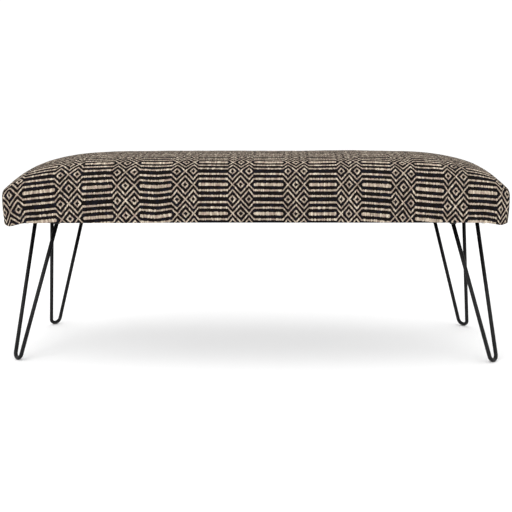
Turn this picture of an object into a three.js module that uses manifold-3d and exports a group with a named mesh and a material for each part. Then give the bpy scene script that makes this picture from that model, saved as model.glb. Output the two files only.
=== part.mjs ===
// Entryway bench: a long padded seat in handwoven cloth on four splayed hairpin legs.
// Millimetres, +Z up. The origin is on the floor under the middle of the seat, +X runs along the
// bench and -Y is its front.
import * as THREE from 'three';
import { LoftGeometry } from 'three/addons/geometries/LoftGeometry.js';
import { mergeVertices } from 'three/addons/utils/BufferGeometryUtils.js';
import Module from 'manifold-3d';

const wasm = await Module();
wasm.setup();

// Overall size
const seatLength = 1220; // end to end over the cloth
const seatDepth = 410; // front to back over the cloth
const legHeight = 350; // floor to the top face of the mounting plates

// Fit between pieces that touch
const gap = 0.3;

// Seat board
const boardThickness = 18;
const boardInset = 12; // cloth edge to board edge
const boardCorner = 14;

// Soft layers, from the outside in
const clothThickness = 1.6;
const clothTurnUnder = 26; // cloth edge to the raw edge under the board
const clothFold = 8.5; // how far the cloth draws in at its bottom fold
const clothDraw = 3.4; // how far it is drawn in beside the board
const waddingThickness = 8;
const dustCoverThickness = 0.6;
const dustCoverInset = 14; // cloth edge to the dust cover's edge
const dustCoverStep = 27.5; // cloth edge to where the dust cover steps up to the board

// Shape of the cushion
const cushionCorner = 22; // plan radius of the upright corners
const endWallHeight = 81.8; // board underside up to where the end walls round over
const crownRise = 79; // from there up to the crest
const crownDrop = 10; // how much lower the long walls round over
const bulgeDrop = 11.8; // from there down to where the walls are fullest
const endCurve = { power: 7.3, root: 1.48 }; // how late and how fast the crown falls to the ends
const sideCurve = { power: 3, root: 4.2 }; // and to the front and back

// Hairpin legs
const rodDiameter = 10;
const footSplay = 98; // plate centre out to the foot, along the diagonal
const bendRadius = 14.5; // rod centre line at the foot
const legInsetLength = 84; // cloth end to plate centre
const legInsetDepth = 88; // cloth front to plate centre
const plateSize = 105;
const plateThickness = 4;
const plateCorner = 10;
const rodEdge = 15.5; // rod centre to the two nearest sides of the plate
const weldLeg = 5; // height of the fillet weld
const weldToe = 2; // its width at its lower edge
const weldFoot = 6; // its width at the plate

// Bolts and tee nuts
const boltDiameter = 6;
const boltHeadDiameter = 12;
const boltHeadHeight = 3.5;
const boltHeadCrown = 1.6; // how far the head's rounded edge comes down
const boltHeadFlat = 4.3; // radius of the flat across the head
const boltHoleClearance = 0.5; // on the radius, through the plate and the dust cover
const boltEdge = 14.3; // outer bolt centre to the two nearest sides of the plate
const innerBoltOffset = 20; // plate centre to the bolts between the rod's ends
const teeBarrelWall = 0.7;
const teeBarrelLength = 12;
const teeFlangeDiameter = 19;
const teeFlangeThickness = 1.4;
const threadClearance = 0.3; // on the radius

// How finely round shapes are divided
const rodSides = 12;
const boltSides = 8;
const cornerSteps = 4;
const bendSteps = 12;
const longSideShares = [0.04, 0.12, 0.28, 0.5, 0.72, 0.88, 0.96];
const shortSideShares = [0.25, 0.5, 0.75];
const crownShares = [1, 0.985, 0.955, 0.91, 0.84, 0.72, 0.5, 0.25];

// Levels from the floor up
const plateUnderside = legHeight - plateThickness;
const dustCoverTop = legHeight + gap + dustCoverThickness;
const boardUnderside = dustCoverTop + gap;
const boardTop = boardUnderside + boardThickness;
const clothUnderside = boardUnderside - gap - clothThickness;
const foamUnderside = boardTop + gap;
const shoulderLevel = boardUnderside + endWallHeight;
const bulgeLevel = shoulderLevel - crownDrop - bulgeDrop;

// Places on the plate's diagonals, from its centre
const rodSpread = 2 * Math.SQRT2 * (plateSize / 2 - rodEdge);
const outerBoltOffset = Math.SQRT2 * (plateSize / 2 - boltEdge);

// Tee nut sizes that follow the bolt
const teeBore = boltDiameter / 2 + threadClearance;
const teeBarrel = teeBore + teeBarrelWall;

// Depth of each soft layer inside the cloth's outer face
const waddingDepth = clothThickness + gap;
const foamDepth = waddingDepth + waddingThickness + gap;

const finishes = {
  cloth: new THREE.MeshStandardMaterial({ color: 0x6b6258, roughness: 0.95, metalness: 0 }),
  dustCloth: new THREE.MeshStandardMaterial({ color: 0x17171a, roughness: 0.9, metalness: 0 }),
  wadding: new THREE.MeshStandardMaterial({ color: 0xf1efe9, roughness: 1, metalness: 0 }),
  foam: new THREE.MeshStandardMaterial({ color: 0xe9dfb8, roughness: 0.95, metalness: 0 }),
  plywood: new THREE.MeshStandardMaterial({ color: 0xc9a877, roughness: 0.7, metalness: 0 }),
  blackSteel: new THREE.MeshStandardMaterial({ color: 0x121213, roughness: 0.45, metalness: 0.3 }),
  zincSteel: new THREE.MeshStandardMaterial({ color: 0xb9bcc0, roughness: 0.35, metalness: 1 }),
};

// A closed geometry as a solid that can be cut and joined.
function toSolid(geometry) {
  const bare = new THREE.BufferGeometry();
  bare.setAttribute('position', geometry.getAttribute('position'));
  bare.setIndex(geometry.index);
  const merged = mergeVertices(bare, 1e-3);
  return new wasm.Manifold(new wasm.Mesh({
    numProp: 3,
    vertProperties: merged.attributes.position.array,
    triVerts: new Uint32Array(merged.index.array),
  }));
}

// A cut or joined solid as a geometry again.
function toGeometry(solid) {
  const { vertProperties, triVerts } = solid.getMesh();
  const geometry = new THREE.BufferGeometry();
  geometry.setAttribute('position', new THREE.BufferAttribute(vertProperties, 3));
  geometry.setIndex(new THREE.BufferAttribute(triVerts, 1));
  return geometry;
}

function cut(geometry, tools) {
  let solid = toSolid(geometry);
  for (const tool of tools) solid = solid.subtract(toSolid(tool));
  return toGeometry(solid);
}

function named(name, geometry, material) {
  const mesh = new THREE.Mesh(geometry, material);
  mesh.name = name;
  return mesh;
}

// A drill between two levels over a point of the plan. Its flats, not its corners, are at the
// radius, so whatever round piece passes through clears it however it is turned.
function drill(radius, low, high, [x, y]) {
  const corner = radius / Math.cos(Math.PI / boltSides);
  return new THREE.CylinderGeometry(corner, corner, high - low, boltSides)
    .rotateX(Math.PI / 2)
    .translate(x, y, (low + high) / 2);
}

// Points round a rectangle with rounded corners, counterclockwise from above. A point that is
// `share` of the way out from the middle lies on a smaller copy of the outline.
function outline(halfLength, halfDepth, radius, levelAt, share = 1) {
  const points = [];
  const quarters = [[1, 1], [-1, 1], [-1, -1], [1, -1]];
  quarters.forEach(([sx, sy], quarter) => {
    const cx = sx * (halfLength - radius);
    const cy = sy * (halfDepth - radius);
    for (let i = 0; i <= cornerSteps; i += 1) {
      const angle = (quarter + i / cornerSteps) * Math.PI / 2;
      points.push([cx + radius * Math.cos(angle), cy + radius * Math.sin(angle)]);
    }
    // intermediate points along the straight side to the next corner, closer near its ends
    const along = quarter % 2 === 0 ? [-sx, 0] : [0, -sy];
    const length = 2 * (quarter % 2 === 0 ? halfLength : halfDepth) - 2 * radius;
    const [fromX, fromY] = points.at(-1);
    const shares = quarter % 2 === 0 ? longSideShares : shortSideShares;
    for (const part of shares) {
      points.push([fromX + along[0] * length * part, fromY + along[1] * length * part]);
    }
  });
  return points.map(([x, y]) => {
    const px = x * share;
    const py = y * share;
    return new THREE.Vector3(px, py, levelAt(px, py));
  });
}

// Height of the cushion's crowned top over a point of the plan, for a layer `depth` inside the
// cloth. u and v are shares of the half length and the half depth.
function crownLevel(x, y, depth) {
  const u = Math.min(Math.abs(x) / (seatLength / 2 - depth), 1);
  const v = Math.min(Math.abs(y) / (seatDepth / 2 - depth), 1);
  const endFall = (1 - u ** endCurve.power) ** (1 / endCurve.root);
  const sideFall = (1 - v ** sideCurve.power) ** (1 / sideCurve.root);
  return shoulderLevel - depth + crownRise * endFall * sideFall - crownDrop * v * v;
}

// How far the cloth is drawn in from its fullest plan at a level of the wall.
function wallDraw(level) {
  const below = Math.max(bulgeLevel - level, 0) / (bulgeLevel - boardUnderside);
  return clothDraw * below ** 1.5;
}

// Sections of the cushion's wall from a level up to its shoulder, then over the crowned top.
function cushionSections(depth, fromLevel) {
  const halfLength = seatLength / 2 - depth;
  const halfDepth = seatDepth / 2 - depth;
  const radius = cushionCorner - depth;
  const wall = [fromLevel, (fromLevel + bulgeLevel) / 2, bulgeLevel].map((level) => {
    const draw = wallDraw(level);
    return outline(halfLength - draw, halfDepth - draw, radius, () => level);
  });
  const top = crownShares.map((share) => (
    outline(halfLength, halfDepth, radius, (x, y) => crownLevel(x, y, depth), share)
  ));
  return [...wall, ...top];
}

function flatSection(inset, level, radius) {
  return outline(seatLength / 2 - inset, seatDepth / 2 - inset, radius, () => level);
}

// All of a section's points drawn together at their middle.
function gathered(section) {
  const middle = new THREE.Vector3();
  for (const point of section) middle.addScaledVector(point, 1 / section.length);
  return section.map(() => middle.clone());
}

// A loft whose two ends are closed by fans to their middles.
function closedLoft(sections) {
  return new LoftGeometry([gathered(sections[0]), ...sections, gathered(sections.at(-1))]);
}

// Where the four legs stand, and which way each one splays.
const legs = [
  { name: 'front_left', sx: -1, sy: -1 },
  { name: 'front_right', sx: 1, sy: -1 },
  { name: 'rear_left', sx: -1, sy: 1 },
  { name: 'rear_right', sx: 1, sy: 1 },
].map((leg) => ({
  ...leg,
  x: leg.sx * (seatLength / 2 - legInsetLength),
  y: leg.sy * (seatDepth / 2 - legInsetDepth),
  turn: Math.atan2(leg.sy, leg.sx),
}));

// Bolt centres in a leg's own frame: x points out along the splay, y across it.
const boltPlaces = [
  [outerBoltOffset, 0],
  [-outerBoltOffset, 0],
  [0, innerBoltOffset],
  [0, -innerBoltOffset],
];

// The same centres in the bench's frame.
function boltCentres() {
  return legs.flatMap((leg) => boltPlaces.map(([x, y]) => [
    leg.x + x * Math.cos(leg.turn) - y * Math.sin(leg.turn),
    leg.y + x * Math.sin(leg.turn) + y * Math.cos(leg.turn),
  ]));
}

function seatBoard() {
  const board = closedLoft([
    flatSection(boardInset, boardUnderside, boardCorner),
    flatSection(boardInset, boardTop, boardCorner),
  ]);
  const recessFloor = boardTop - teeFlangeThickness - gap;
  const holes = boltCentres().flatMap((place) => [
    drill(teeBarrel + gap, boardUnderside - 1, boardTop + 1, place),
    drill(teeFlangeDiameter / 2 + gap, recessFloor, boardTop + 1, place),
  ]);
  return named('seat_board', cut(board, holes), finishes.plywood);
}

function foamCore() {
  return named('foam_core', closedLoft(cushionSections(foamDepth, foamUnderside)), finishes.foam);
}

// A shell over the foam that runs down beside the board, open underneath.
function wadding() {
  const besideBoard = boardInset - gap;
  const body = closedLoft([
    flatSection(clothFold + gap, boardUnderside, cushionCorner - clothFold),
    ...cushionSections(waddingDepth, boardUnderside + clothThickness),
  ]);
  const hollow = closedLoft([
    flatSection(besideBoard, boardUnderside - 1, boardCorner + gap),
    flatSection(besideBoard, foamUnderside - gap / 2, boardCorner + gap),
    ...cushionSections(foamDepth - gap, foamUnderside),
  ]);
  return named('wadding', cut(body, [hollow]), finishes.wadding);
}

// The cloth: over the cushion, round its bottom edge and turned under the board.
function fabricCover() {
  const turned = boardUnderside - gap;
  const underRadius = cushionCorner - clothFold;
  const body = closedLoft([
    flatSection(clothFold, clothUnderside, underRadius),
    ...cushionSections(0, turned + clothThickness),
  ]);
  const hollow = closedLoft([
    flatSection(clothTurnUnder, clothUnderside - 1, underRadius),
    flatSection(clothTurnUnder, turned, underRadius),
    flatSection(clothFold, turned, underRadius),
    ...cushionSections(clothThickness, turned + clothThickness),
  ]);
  return named('fabric_cover', cut(body, [hollow]), finishes.cloth);
}

// Thin cloth over the underside: its rim lies under the turned cloth and its middle steps up
// against the board, where the mounting plates hold it.
function dustCover() {
  const rimTop = clothUnderside - gap;
  const rimBottom = rimTop - dustCoverThickness;
  const step = dustCoverStep;
  const corner = boardCorner;
  const sheet = closedLoft([
    flatSection(step + 1, legHeight + gap, corner),
    flatSection(step, rimBottom, corner),
    flatSection(dustCoverInset, rimBottom, corner),
    flatSection(dustCoverInset, rimTop, corner),
    flatSection(step + dustCoverThickness, rimTop, corner),
    flatSection(step + dustCoverThickness + 1, dustCoverTop, corner),
  ]);
  const radius = boltDiameter / 2 + boltHoleClearance;
  const holes = boltCentres().map((place) => (
    drill(radius, rimBottom - 1, dustCoverTop + 1, place)
  ));
  return named('dust_cover', cut(sheet, holes), finishes.dustCloth);
}

// Centre line of a hairpin rod in its leg's own frame: down from one end at the plate, round the
// bend that makes the foot, and up to the other end.
class HairpinCurve extends THREE.Curve {
  constructor() {
    super();
    const foot = new THREE.Vector3(footSplay, 0, rodDiameter / 2);
    const head = new THREE.Vector3(0, 0, plateUnderside);
    this.foot = foot;
    this.up = head.clone().sub(foot).normalize();
    this.across = new THREE.Vector3(0, 1, 0);
    this.out = new THREE.Vector3().crossVectors(this.across, this.up);
    const reach = head.distanceTo(foot) - bendRadius;
    const distance = Math.hypot(reach, rodSpread / 2);
    this.open = Math.atan2(rodSpread / 2, reach) - Math.asin(bendRadius / distance);
    // each straight runs on past the plate's underside, to be trimmed there
    this.endAlong = bendRadius + reach + rodDiameter * Math.cos(this.open);
    this.endAcross = rodSpread / 2 + rodDiameter * Math.sin(this.open);
  }

  at(along, across) {
    return this.foot.clone().addScaledVector(this.up, along).addScaledVector(this.across, across);
  }

  // t runs in even steps: one for each straight, the rest round the bend.
  getPoint(t) {
    const step = t * (bendSteps + 2);
    if (step < 0.5) return this.at(this.endAlong, this.endAcross);
    if (step > bendSteps + 1.5) return this.at(this.endAlong, -this.endAcross);
    const sweep = Math.PI - 2 * this.open;
    const angle = Math.PI / 2 + this.open + sweep * (step - 1) / bendSteps;
    return this.at(
      bendRadius + bendRadius * Math.cos(angle),
      bendRadius * Math.sin(angle),
    );
  }

  getPointAt(t) {
    return this.getPoint(t);
  }

  // Sections stay square to the rod, with a corner of each turned to the floor at the foot.
  computeFrenetFrames(segments) {
    const points = this.getPoints(segments);
    const tangents = points.map((point, i) => {
      const before = points[Math.max(i - 1, 0)];
      const after = points[Math.min(i + 1, segments)];
      const into = point.clone().sub(before).normalize();
      return into.add(after.clone().sub(point).normalize()).normalize();
    });
    const binormals = points.map(() => this.out.clone());
    const normals = tangents.map((tangent) => (
      new THREE.Vector3().crossVectors(this.out, tangent).normalize()
    ));
    return { tangents, normals, binormals };
  }
}

function hairpinRod(legName) {
  const curve = new HairpinCurve();
  const lean = Math.atan2(footSplay, plateUnderside + rodDiameter / 2);
  const section = new THREE.Shape();
  for (let i = 0; i < rodSides; i += 1) {
    const angle = (i / rodSides) * 2 * Math.PI + lean;
    const x = rodDiameter / 2 * Math.cos(angle);
    const y = rodDiameter / 2 * Math.sin(angle);
    if (i === 0) section.moveTo(x, y);
    else section.lineTo(x, y);
  }
  section.closePath();
  const rod = new THREE.ExtrudeGeometry(section, { steps: bendSteps + 2, extrudePath: curve });
  const above = plateUnderside - gap;
  const trim = new THREE.BoxGeometry(2 * plateSize, 2 * plateSize, plateSize)
    .translate(0, 0, above + plateSize / 2);
  return named(`hairpin_rod_${legName}`, cut(rod, [trim]), finishes.blackSteel);
}

// A square plate with rounded corners, its sides square to the seat and its bolt holes cut.
function mountingPlate(legName) {
  const half = plateSize / 2;
  const corner = plateCorner;
  const shape = new THREE.Shape();
  shape.moveTo(half, half - corner);
  shape.absarc(half - corner, half - corner, corner, 0, Math.PI / 2);
  shape.absarc(corner - half, half - corner, corner, Math.PI / 2, Math.PI);
  shape.absarc(corner - half, corner - half, corner, Math.PI, Math.PI * 1.5);
  shape.absarc(half - corner, corner - half, corner, Math.PI * 1.5, Math.PI * 2);
  const plate = new THREE.ExtrudeGeometry(shape, {
    depth: plateThickness, bevelEnabled: false, curveSegments: cornerSteps,
  }).rotateZ(Math.PI / 4).translate(0, 0, plateUnderside);
  const radius = boltDiameter / 2 + boltHoleClearance;
  const holes = boltPlaces.map((place) => (
    drill(radius, plateUnderside - 1, legHeight + 1, place)
  ));
  return named(`mounting_plate_${legName}`, cut(plate, holes), finishes.blackSteel);
}

// A fillet weld round one end of the rod, between the rod and the plate.
function weldBead(legName, side) {
  const curve = new HairpinCurve();
  const high = plateUnderside - gap;
  const low = high - weldLeg;
  const end = curve.getPoint(side > 0 ? 0 : 1);
  const bendEnd = curve.getPoint((side > 0 ? 1 : bendSteps + 1) / (bendSteps + 2));
  const middle = end.clone().lerp(bendEnd, (end.z - (low + high) / 2) / (end.z - bendEnd.z));
  const rodClear = rodDiameter / 2 + gap;
  const fillet = new THREE.CylinderGeometry(
    rodClear + weldToe, rodClear + weldFoot, weldLeg, rodSides,
  ).rotateX(-Math.PI / 2)
    .translate(middle.x, middle.y, (low + high) / 2);
  const direction = end.clone().sub(bendEnd).normalize();
  const turn = new THREE.Quaternion().setFromUnitVectors(new THREE.Vector3(0, 1, 0), direction);
  const bore = new THREE.CylinderGeometry(rodClear, rodClear, 6 * weldLeg, rodSides)
    .applyQuaternion(turn)
    .translate(middle.x, middle.y, middle.z);
  const label = side > 0 ? 'a' : 'b';
  return named(`weld_bead_${legName}_${label}`, cut(fillet, [bore]), finishes.blackSteel);
}

// A pan head machine screw, head down under the plate.
function legBolt(legName, index) {
  const [x, y] = boltPlaces[index];
  const seat = plateUnderside - gap;
  const shank = boltDiameter / 2;
  const head = boltHeadDiameter / 2;
  const profile = [
    [0, seat - boltHeadHeight],
    [boltHeadFlat, seat - boltHeadHeight],
    [head, seat - boltHeadHeight + boltHeadCrown],
    [head, seat],
    [shank, seat],
    [shank, boardTop - gap],
    [0, boardTop - gap],
  ].map(([radius, level]) => new THREE.Vector2(radius, level));
  const bolt = new THREE.LatheGeometry(profile, boltSides).rotateX(Math.PI / 2).translate(x, y, 0);
  return named(`leg_bolt_${legName}_${index + 1}`, bolt, finishes.zincSteel);
}

// A tee nut pressed into the top of the board: a flange and a threaded barrel.
function teeNut(legName, index) {
  const [x, y] = boltPlaces[index];
  const flange = teeFlangeDiameter / 2;
  const top = boardTop;
  const underFlange = top - teeFlangeThickness;
  const bottom = underFlange - teeBarrelLength;
  const profile = [
    [teeBore, bottom],
    [teeBarrel, bottom],
    [teeBarrel, underFlange],
    [flange, underFlange],
    [flange, top],
    [teeBore, top],
    [teeBore, bottom],
  ].map(([radius, level]) => new THREE.Vector2(radius, level));
  const nut = new THREE.LatheGeometry(profile, boltSides).rotateX(Math.PI / 2).translate(x, y, 0);
  return named(`tee_nut_${legName}_${index + 1}`, nut, finishes.zincSteel);
}

function hairpinLeg({ name, x, y, turn }) {
  const leg = new THREE.Group();
  leg.position.set(x, y, 0);
  leg.rotation.z = turn;
  leg.add(mountingPlate(name), hairpinRod(name), weldBead(name, 1), weldBead(name, -1));
  boltPlaces.forEach((place, index) => leg.add(legBolt(name, index), teeNut(name, index)));
  return leg;
}

function seat() {
  const group = new THREE.Group();
  group.add(seatBoard(), foamCore(), wadding(), fabricCover(), dustCover());
  return group;
}

const bench = new THREE.Group();
bench.add(seat(), ...legs.map(hairpinLeg));

export default bench;
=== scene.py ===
"""Entryway bench: a long padded seat in handwoven cloth on four splayed hairpin legs."""

import logging
import math
from dataclasses import dataclass, field
from enum import Enum
from typing import Callable, Sequence

import bmesh
import bpy
import numpy as np
from mathutils import Matrix, Vector, noise


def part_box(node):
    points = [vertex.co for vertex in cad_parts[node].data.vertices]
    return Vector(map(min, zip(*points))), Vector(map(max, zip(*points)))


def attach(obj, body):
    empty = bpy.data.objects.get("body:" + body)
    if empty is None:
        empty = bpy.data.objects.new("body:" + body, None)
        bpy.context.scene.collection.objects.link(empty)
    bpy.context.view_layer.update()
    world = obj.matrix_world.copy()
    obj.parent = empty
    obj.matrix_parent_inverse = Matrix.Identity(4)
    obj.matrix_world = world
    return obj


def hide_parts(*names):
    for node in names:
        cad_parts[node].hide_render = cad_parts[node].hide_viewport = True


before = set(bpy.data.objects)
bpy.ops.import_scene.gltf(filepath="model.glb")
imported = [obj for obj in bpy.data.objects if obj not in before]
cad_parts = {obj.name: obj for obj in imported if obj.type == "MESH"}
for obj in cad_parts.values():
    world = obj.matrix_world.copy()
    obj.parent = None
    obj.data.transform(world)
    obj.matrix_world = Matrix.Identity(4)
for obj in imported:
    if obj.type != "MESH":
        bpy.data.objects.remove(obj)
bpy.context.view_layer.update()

Piece = bpy.types.Object
Material = bpy.types.Material
Socket = bpy.types.NodeSocket
BMesh = bmesh.types.BMesh
Triple = tuple[float, float, float]

LOG = logging.getLogger("bench")
MM = 0.001
ROOT = "root"
LEGS = {"front_left": (-1, -1), "front_right": (1, -1), "rear_left": (-1, 1), "rear_right": (1, 1)}


class Slot(Enum):
    """The finishes that the pieces made here take."""

    WOVEN_CLOTH = "woven_cloth"
    DUST_CLOTH = "dust_cloth"
    WADDING = "wadding"
    FOAM = "foam"
    BLACK_STEEL = "black_steel"
    ZINC_STEEL = "zinc_steel"


class Shading(Enum):
    """How the faces of a piece are shaded."""

    SMOOTH = "smooth"
    FLAT = "flat"


# ---------------------------------------------------------------------------------------------
# Small helpers for meshes
# ---------------------------------------------------------------------------------------------


def smoothstep(value: float, low: float, high: float) -> float:
    """An eased share from 0 at low to 1 at high."""
    share = min(max((value - low) / (high - low), 0.0), 1.0)
    return share * share * (3 - 2 * share)


def piece_of(bm: BMesh, name: str, shading: Shading = Shading.SMOOTH) -> Piece:
    """Turns a finished bmesh into an object at the origin.

    Args:
        bm: The shape, in metres and in place. It is freed.
        name: The piece's name.
        shading: Smooth or flat faces.

    Returns:
        The new object, linked to the scene.
    """
    for face in bm.faces:
        face.smooth = shading is Shading.SMOOTH
    mesh = bpy.data.meshes.new(name)
    bm.to_mesh(mesh)
    bm.free()
    piece = bpy.data.objects.new(name, mesh)
    bpy.context.scene.collection.objects.link(piece)
    return piece


def finish_piece(
    piece: Piece, material: Material, slot: Slot, *replaced: str
) -> Piece:
    """Dresses a piece, hangs it under the root body and hides the frame's nodes it replaces.

    Args:
        piece: The piece.
        material: Its finish.
        slot: Not used.
        replaced: The frame's nodes it stands for.

    Returns:
        The same piece.
    """
    piece.data.materials.clear()
    piece.data.materials.append(material)
    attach(piece, ROOT)
    if replaced:
        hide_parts(*replaced)
    return piece


def applied(piece: Piece) -> None:
    """Makes a piece's modifiers part of its mesh."""
    evaluated = piece.evaluated_get(bpy.context.evaluated_depsgraph_get())
    mesh = bpy.data.meshes.new_from_object(evaluated)
    mesh.name = piece.name
    piece.modifiers.clear()
    piece.data = mesh


def thickened(piece: Piece, thickness: float, offset: float = -1.0) -> None:
    """Gives a one-layer piece its thickness, inwards unless the offset says otherwise."""
    shell = piece.modifiers.new("thickness", "SOLIDIFY")
    shell.thickness = thickness
    shell.offset = offset


def spun(profile: Sequence[tuple[float, float]], steps: int, ring: bool = False) -> BMesh:
    """Turns a profile round the Z axis into a closed shape.

    Args:
        profile: (radius, level) pairs, from one end of the axis to the other or round a ring's section.
        steps: How many steps make the full turn.
        ring: Whether the profile closes on itself, clear of the axis.

    Returns:
        The shape, its poles closed and its faces pointing out.
    """
    bm = bmesh.new()
    points = [bm.verts.new((radius, 0.0, level)) for radius, level in profile]
    following = points[1:] + points[:1] if ring else points[1:]
    edges = [bm.edges.new(pair) for pair in zip(points, following)]
    bmesh.ops.spin(
        bm, geom=points + edges, cent=(0, 0, 0), axis=(0, 0, 1), dvec=(0, 0, 0),
        angle=2 * math.pi, steps=steps, use_merge=True,
    )
    if not ring:
        bmesh.ops.remove_doubles(bm, verts=bm.verts, dist=1e-6)
        bmesh.ops.dissolve_degenerate(bm, dist=1e-7, edges=bm.edges)
    bmesh.ops.recalc_face_normals(bm, faces=bm.faces)
    return bm


def dressed(node: str, material: Material, width: float, segments: int) -> None:
    """Gives one of the frame's own pieces its finish and eases its edges.

    Args:
        node: The piece's node.
        material: Its finish.
        width: Width of the eased edge.
        segments: How many faces round it.
    """
    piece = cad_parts[node]
    piece.data.materials.clear()
    piece.data.materials.append(material)
    joined = piece.modifiers.new("joined", "WELD")
    joined.merge_threshold = 0.01 * MM
    eased = piece.modifiers.new("eased_edges", "BEVEL")
    eased.width = width
    eased.segments = segments
    eased.limit_method = "ANGLE"
    eased.angle_limit = math.radians(40)


def rounded(x: float, y: float, half_x: float, half_y: float, radius: float) -> tuple[float, float]:
    """A point of a rectangle's plan, drawn in where its corner is round."""
    centre_x, centre_y = half_x - radius, half_y - radius
    out_x, out_y = (abs(x) - centre_x) / radius, (abs(y) - centre_y) / radius
    if out_x <= 0 or out_y <= 0:
        return x, y
    scale = max(out_x, out_y) / math.hypot(out_x, out_y)
    return (
        math.copysign(centre_x + radius * out_x * scale, x),
        math.copysign(centre_y + radius * out_y * scale, y),
    )


# ---------------------------------------------------------------------------------------------
# Node building
# ---------------------------------------------------------------------------------------------


@dataclass
class NodeSheet:
    """Writes the nodes of one material.

    Args:
        material: The material whose tree is filled.
    """

    material: Material

    def __post_init__(self) -> None:
        """Clears the tree and adds a Principled shader on the output."""
        self.material.use_nodes = True
        self.tree = self.material.node_tree
        self.tree.nodes.clear()
        self.output = self.tree.nodes.new("ShaderNodeOutputMaterial")
        self.shader = self.tree.nodes.new("ShaderNodeBsdfPrincipled")
        self.link(self.shader.outputs["BSDF"], self.output.inputs["Surface"])

    def link(self, start: Socket, end: Socket) -> None:
        """Links two sockets."""
        self.tree.links.new(start, end)

    def feed(self, socket: Socket, value: object) -> None:
        """Links a socket to another, or sets it to a number or colour."""
        if isinstance(value, Socket):
            self.link(value, socket)
        else:
            socket.default_value = value

    def maths(self, operation: str, *values: object) -> Socket:
        """A Math node.

        Args:
            operation: Its operation.
            values: Its inputs, as sockets or numbers.

        Returns:
            Its result.
        """
        node = self.tree.nodes.new("ShaderNodeMath")
        node.operation = operation
        for socket, value in zip(node.inputs, values):
            self.feed(socket, value)
        return node.outputs[0]

    def plus(self, first: object, second: object) -> Socket:
        """One value added to another."""
        return self.maths("ADD", first, second)

    def minus(self, first: object, second: object) -> Socket:
        """One value less another."""
        return self.maths("SUBTRACT", first, second)

    def times(self, first: object, second: object) -> Socket:
        """One value multiplied by another."""
        return self.maths("MULTIPLY", first, second)

    def times_plus(self, first: object, second: object, added: object) -> Socket:
        """One value multiplied by another, with a third added."""
        return self.maths("MULTIPLY_ADD", first, second, added)

    def least(self, *values: Socket) -> Socket:
        """The smallest of several values."""
        found = values[0]
        for value in values[1:]:
            found = self.maths("MINIMUM", found, value)
        return found

    def ramp(
        self, value: object, low: float, high: float, out_low: float = 0.0, out_high: float = 1.0
    ) -> Socket:
        """Maps a value from one range to another, eased at both ends.

        Args:
            value: The value.
            low: Where the result is out_low.
            high: Where the result is out_high.
            out_low: The result at low.
            out_high: The result at high.

        Returns:
            The mapped value.
        """
        node = self.tree.nodes.new("ShaderNodeMapRange")
        node.interpolation_type = "SMOOTHSTEP"
        names = ("Value", "From Min", "From Max", "To Min", "To Max")
        for name, number in zip(names, (value, low, high, out_low, out_high)):
            self.feed(node.inputs[name], number)
        return node.outputs["Result"]

    def blend(self, share: object, first: object, second: object, mode: str = "MIX") -> Socket:
        """Mixes two colours.

        Args:
            share: How much of the second is used.
            first: The first colour.
            second: The second colour.
            mode: The blend mode.

        Returns:
            The mixed colour.
        """
        node = self.tree.nodes.new("ShaderNodeMix")
        node.data_type = "RGBA"
        node.blend_type = mode
        self.feed(node.inputs["Factor"], share)
        colours = [socket for socket in node.inputs if socket.type == "RGBA"]
        for socket, colour in zip(colours, (first, second)):
            self.feed(socket, (*colour, 1.0) if isinstance(colour, tuple) else colour)
        return next(socket for socket in node.outputs if socket.type == "RGBA")

    def grey(self, value: Socket) -> Socket:
        """A value as an even colour."""
        node = self.tree.nodes.new("ShaderNodeCombineColor")
        for socket in node.inputs:
            self.link(value, socket)
        return node.outputs["Color"]

    def object_place(self, stretch: Triple = (1.0, 1.0, 1.0)) -> Socket:
        """Object coordinates, each axis scaled."""
        place = self.tree.nodes.new("ShaderNodeTexCoord")
        return self.stretched(place.outputs["Object"], stretch)

    def cloth_place(self, stretch: Triple = (1.0, 1.0, 1.0)) -> Socket:
        """Coordinates along the cloth, in metres, each axis scaled."""
        place = self.tree.nodes.new("ShaderNodeUVMap")
        place.uv_map = "weave"
        return self.stretched(place.outputs["UV"], stretch)

    def stretched(self, place: Socket, stretch: Triple) -> Socket:
        """A place with each axis scaled."""
        if stretch == (1.0, 1.0, 1.0):
            return place
        node = self.tree.nodes.new("ShaderNodeMapping")
        node.inputs["Scale"].default_value = stretch
        self.link(place, node.inputs["Vector"])
        return node.outputs["Vector"]

    def grain(
        self, place: Socket, scale: float, detail: float = 2.0, roughness: float = 0.5
    ) -> Socket:
        """Noise from about 0 to 1.

        Args:
            place: Where it is read.
            scale: Features in a metre.
            detail: Octaves.
            roughness: How strong the finer octaves are.

        Returns:
            The noise value.
        """
        node = self.tree.nodes.new("ShaderNodeTexNoise")
        self.link(place, node.inputs["Vector"])
        node.inputs["Scale"].default_value = scale
        node.inputs["Detail"].default_value = detail
        node.inputs["Roughness"].default_value = roughness
        return node.outputs["Fac"]

    def cloth_grain(
        self, stretch: Triple, detail: float, roughness: float = 0.5
    ) -> Socket:
        """Noise along the cloth, with that many features in a metre each way."""
        return self.grain(self.cloth_place(stretch), 1.0, detail, roughness)

    def object_grain(
        self, stretch: Triple, detail: float, roughness: float = 0.5
    ) -> Socket:
        """Noise through the object, with that many features in a metre each way."""
        return self.grain(self.object_place(stretch), 1.0, detail, roughness)

    def split(self, place: Socket) -> tuple[Socket, ...]:
        """The X, Y and Z of a place."""
        node = self.tree.nodes.new("ShaderNodeSeparateXYZ")
        self.link(place, node.inputs[0])
        return tuple(node.outputs)

    def relief(self, height: Socket, strength: float, depth: float) -> None:
        """Bumps the shader's normal.

        Args:
            height: The relief, from 0 to 1.
            strength: Its strength, from 0 to 1.
            depth: What 1 stands for, in metres.
        """
        node = self.tree.nodes.new("ShaderNodeBump")
        node.inputs["Strength"].default_value = strength
        node.inputs["Distance"].default_value = depth
        self.link(height, node.inputs["Height"])
        self.link(node.outputs["Normal"], self.shader.inputs["Normal"])

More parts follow.
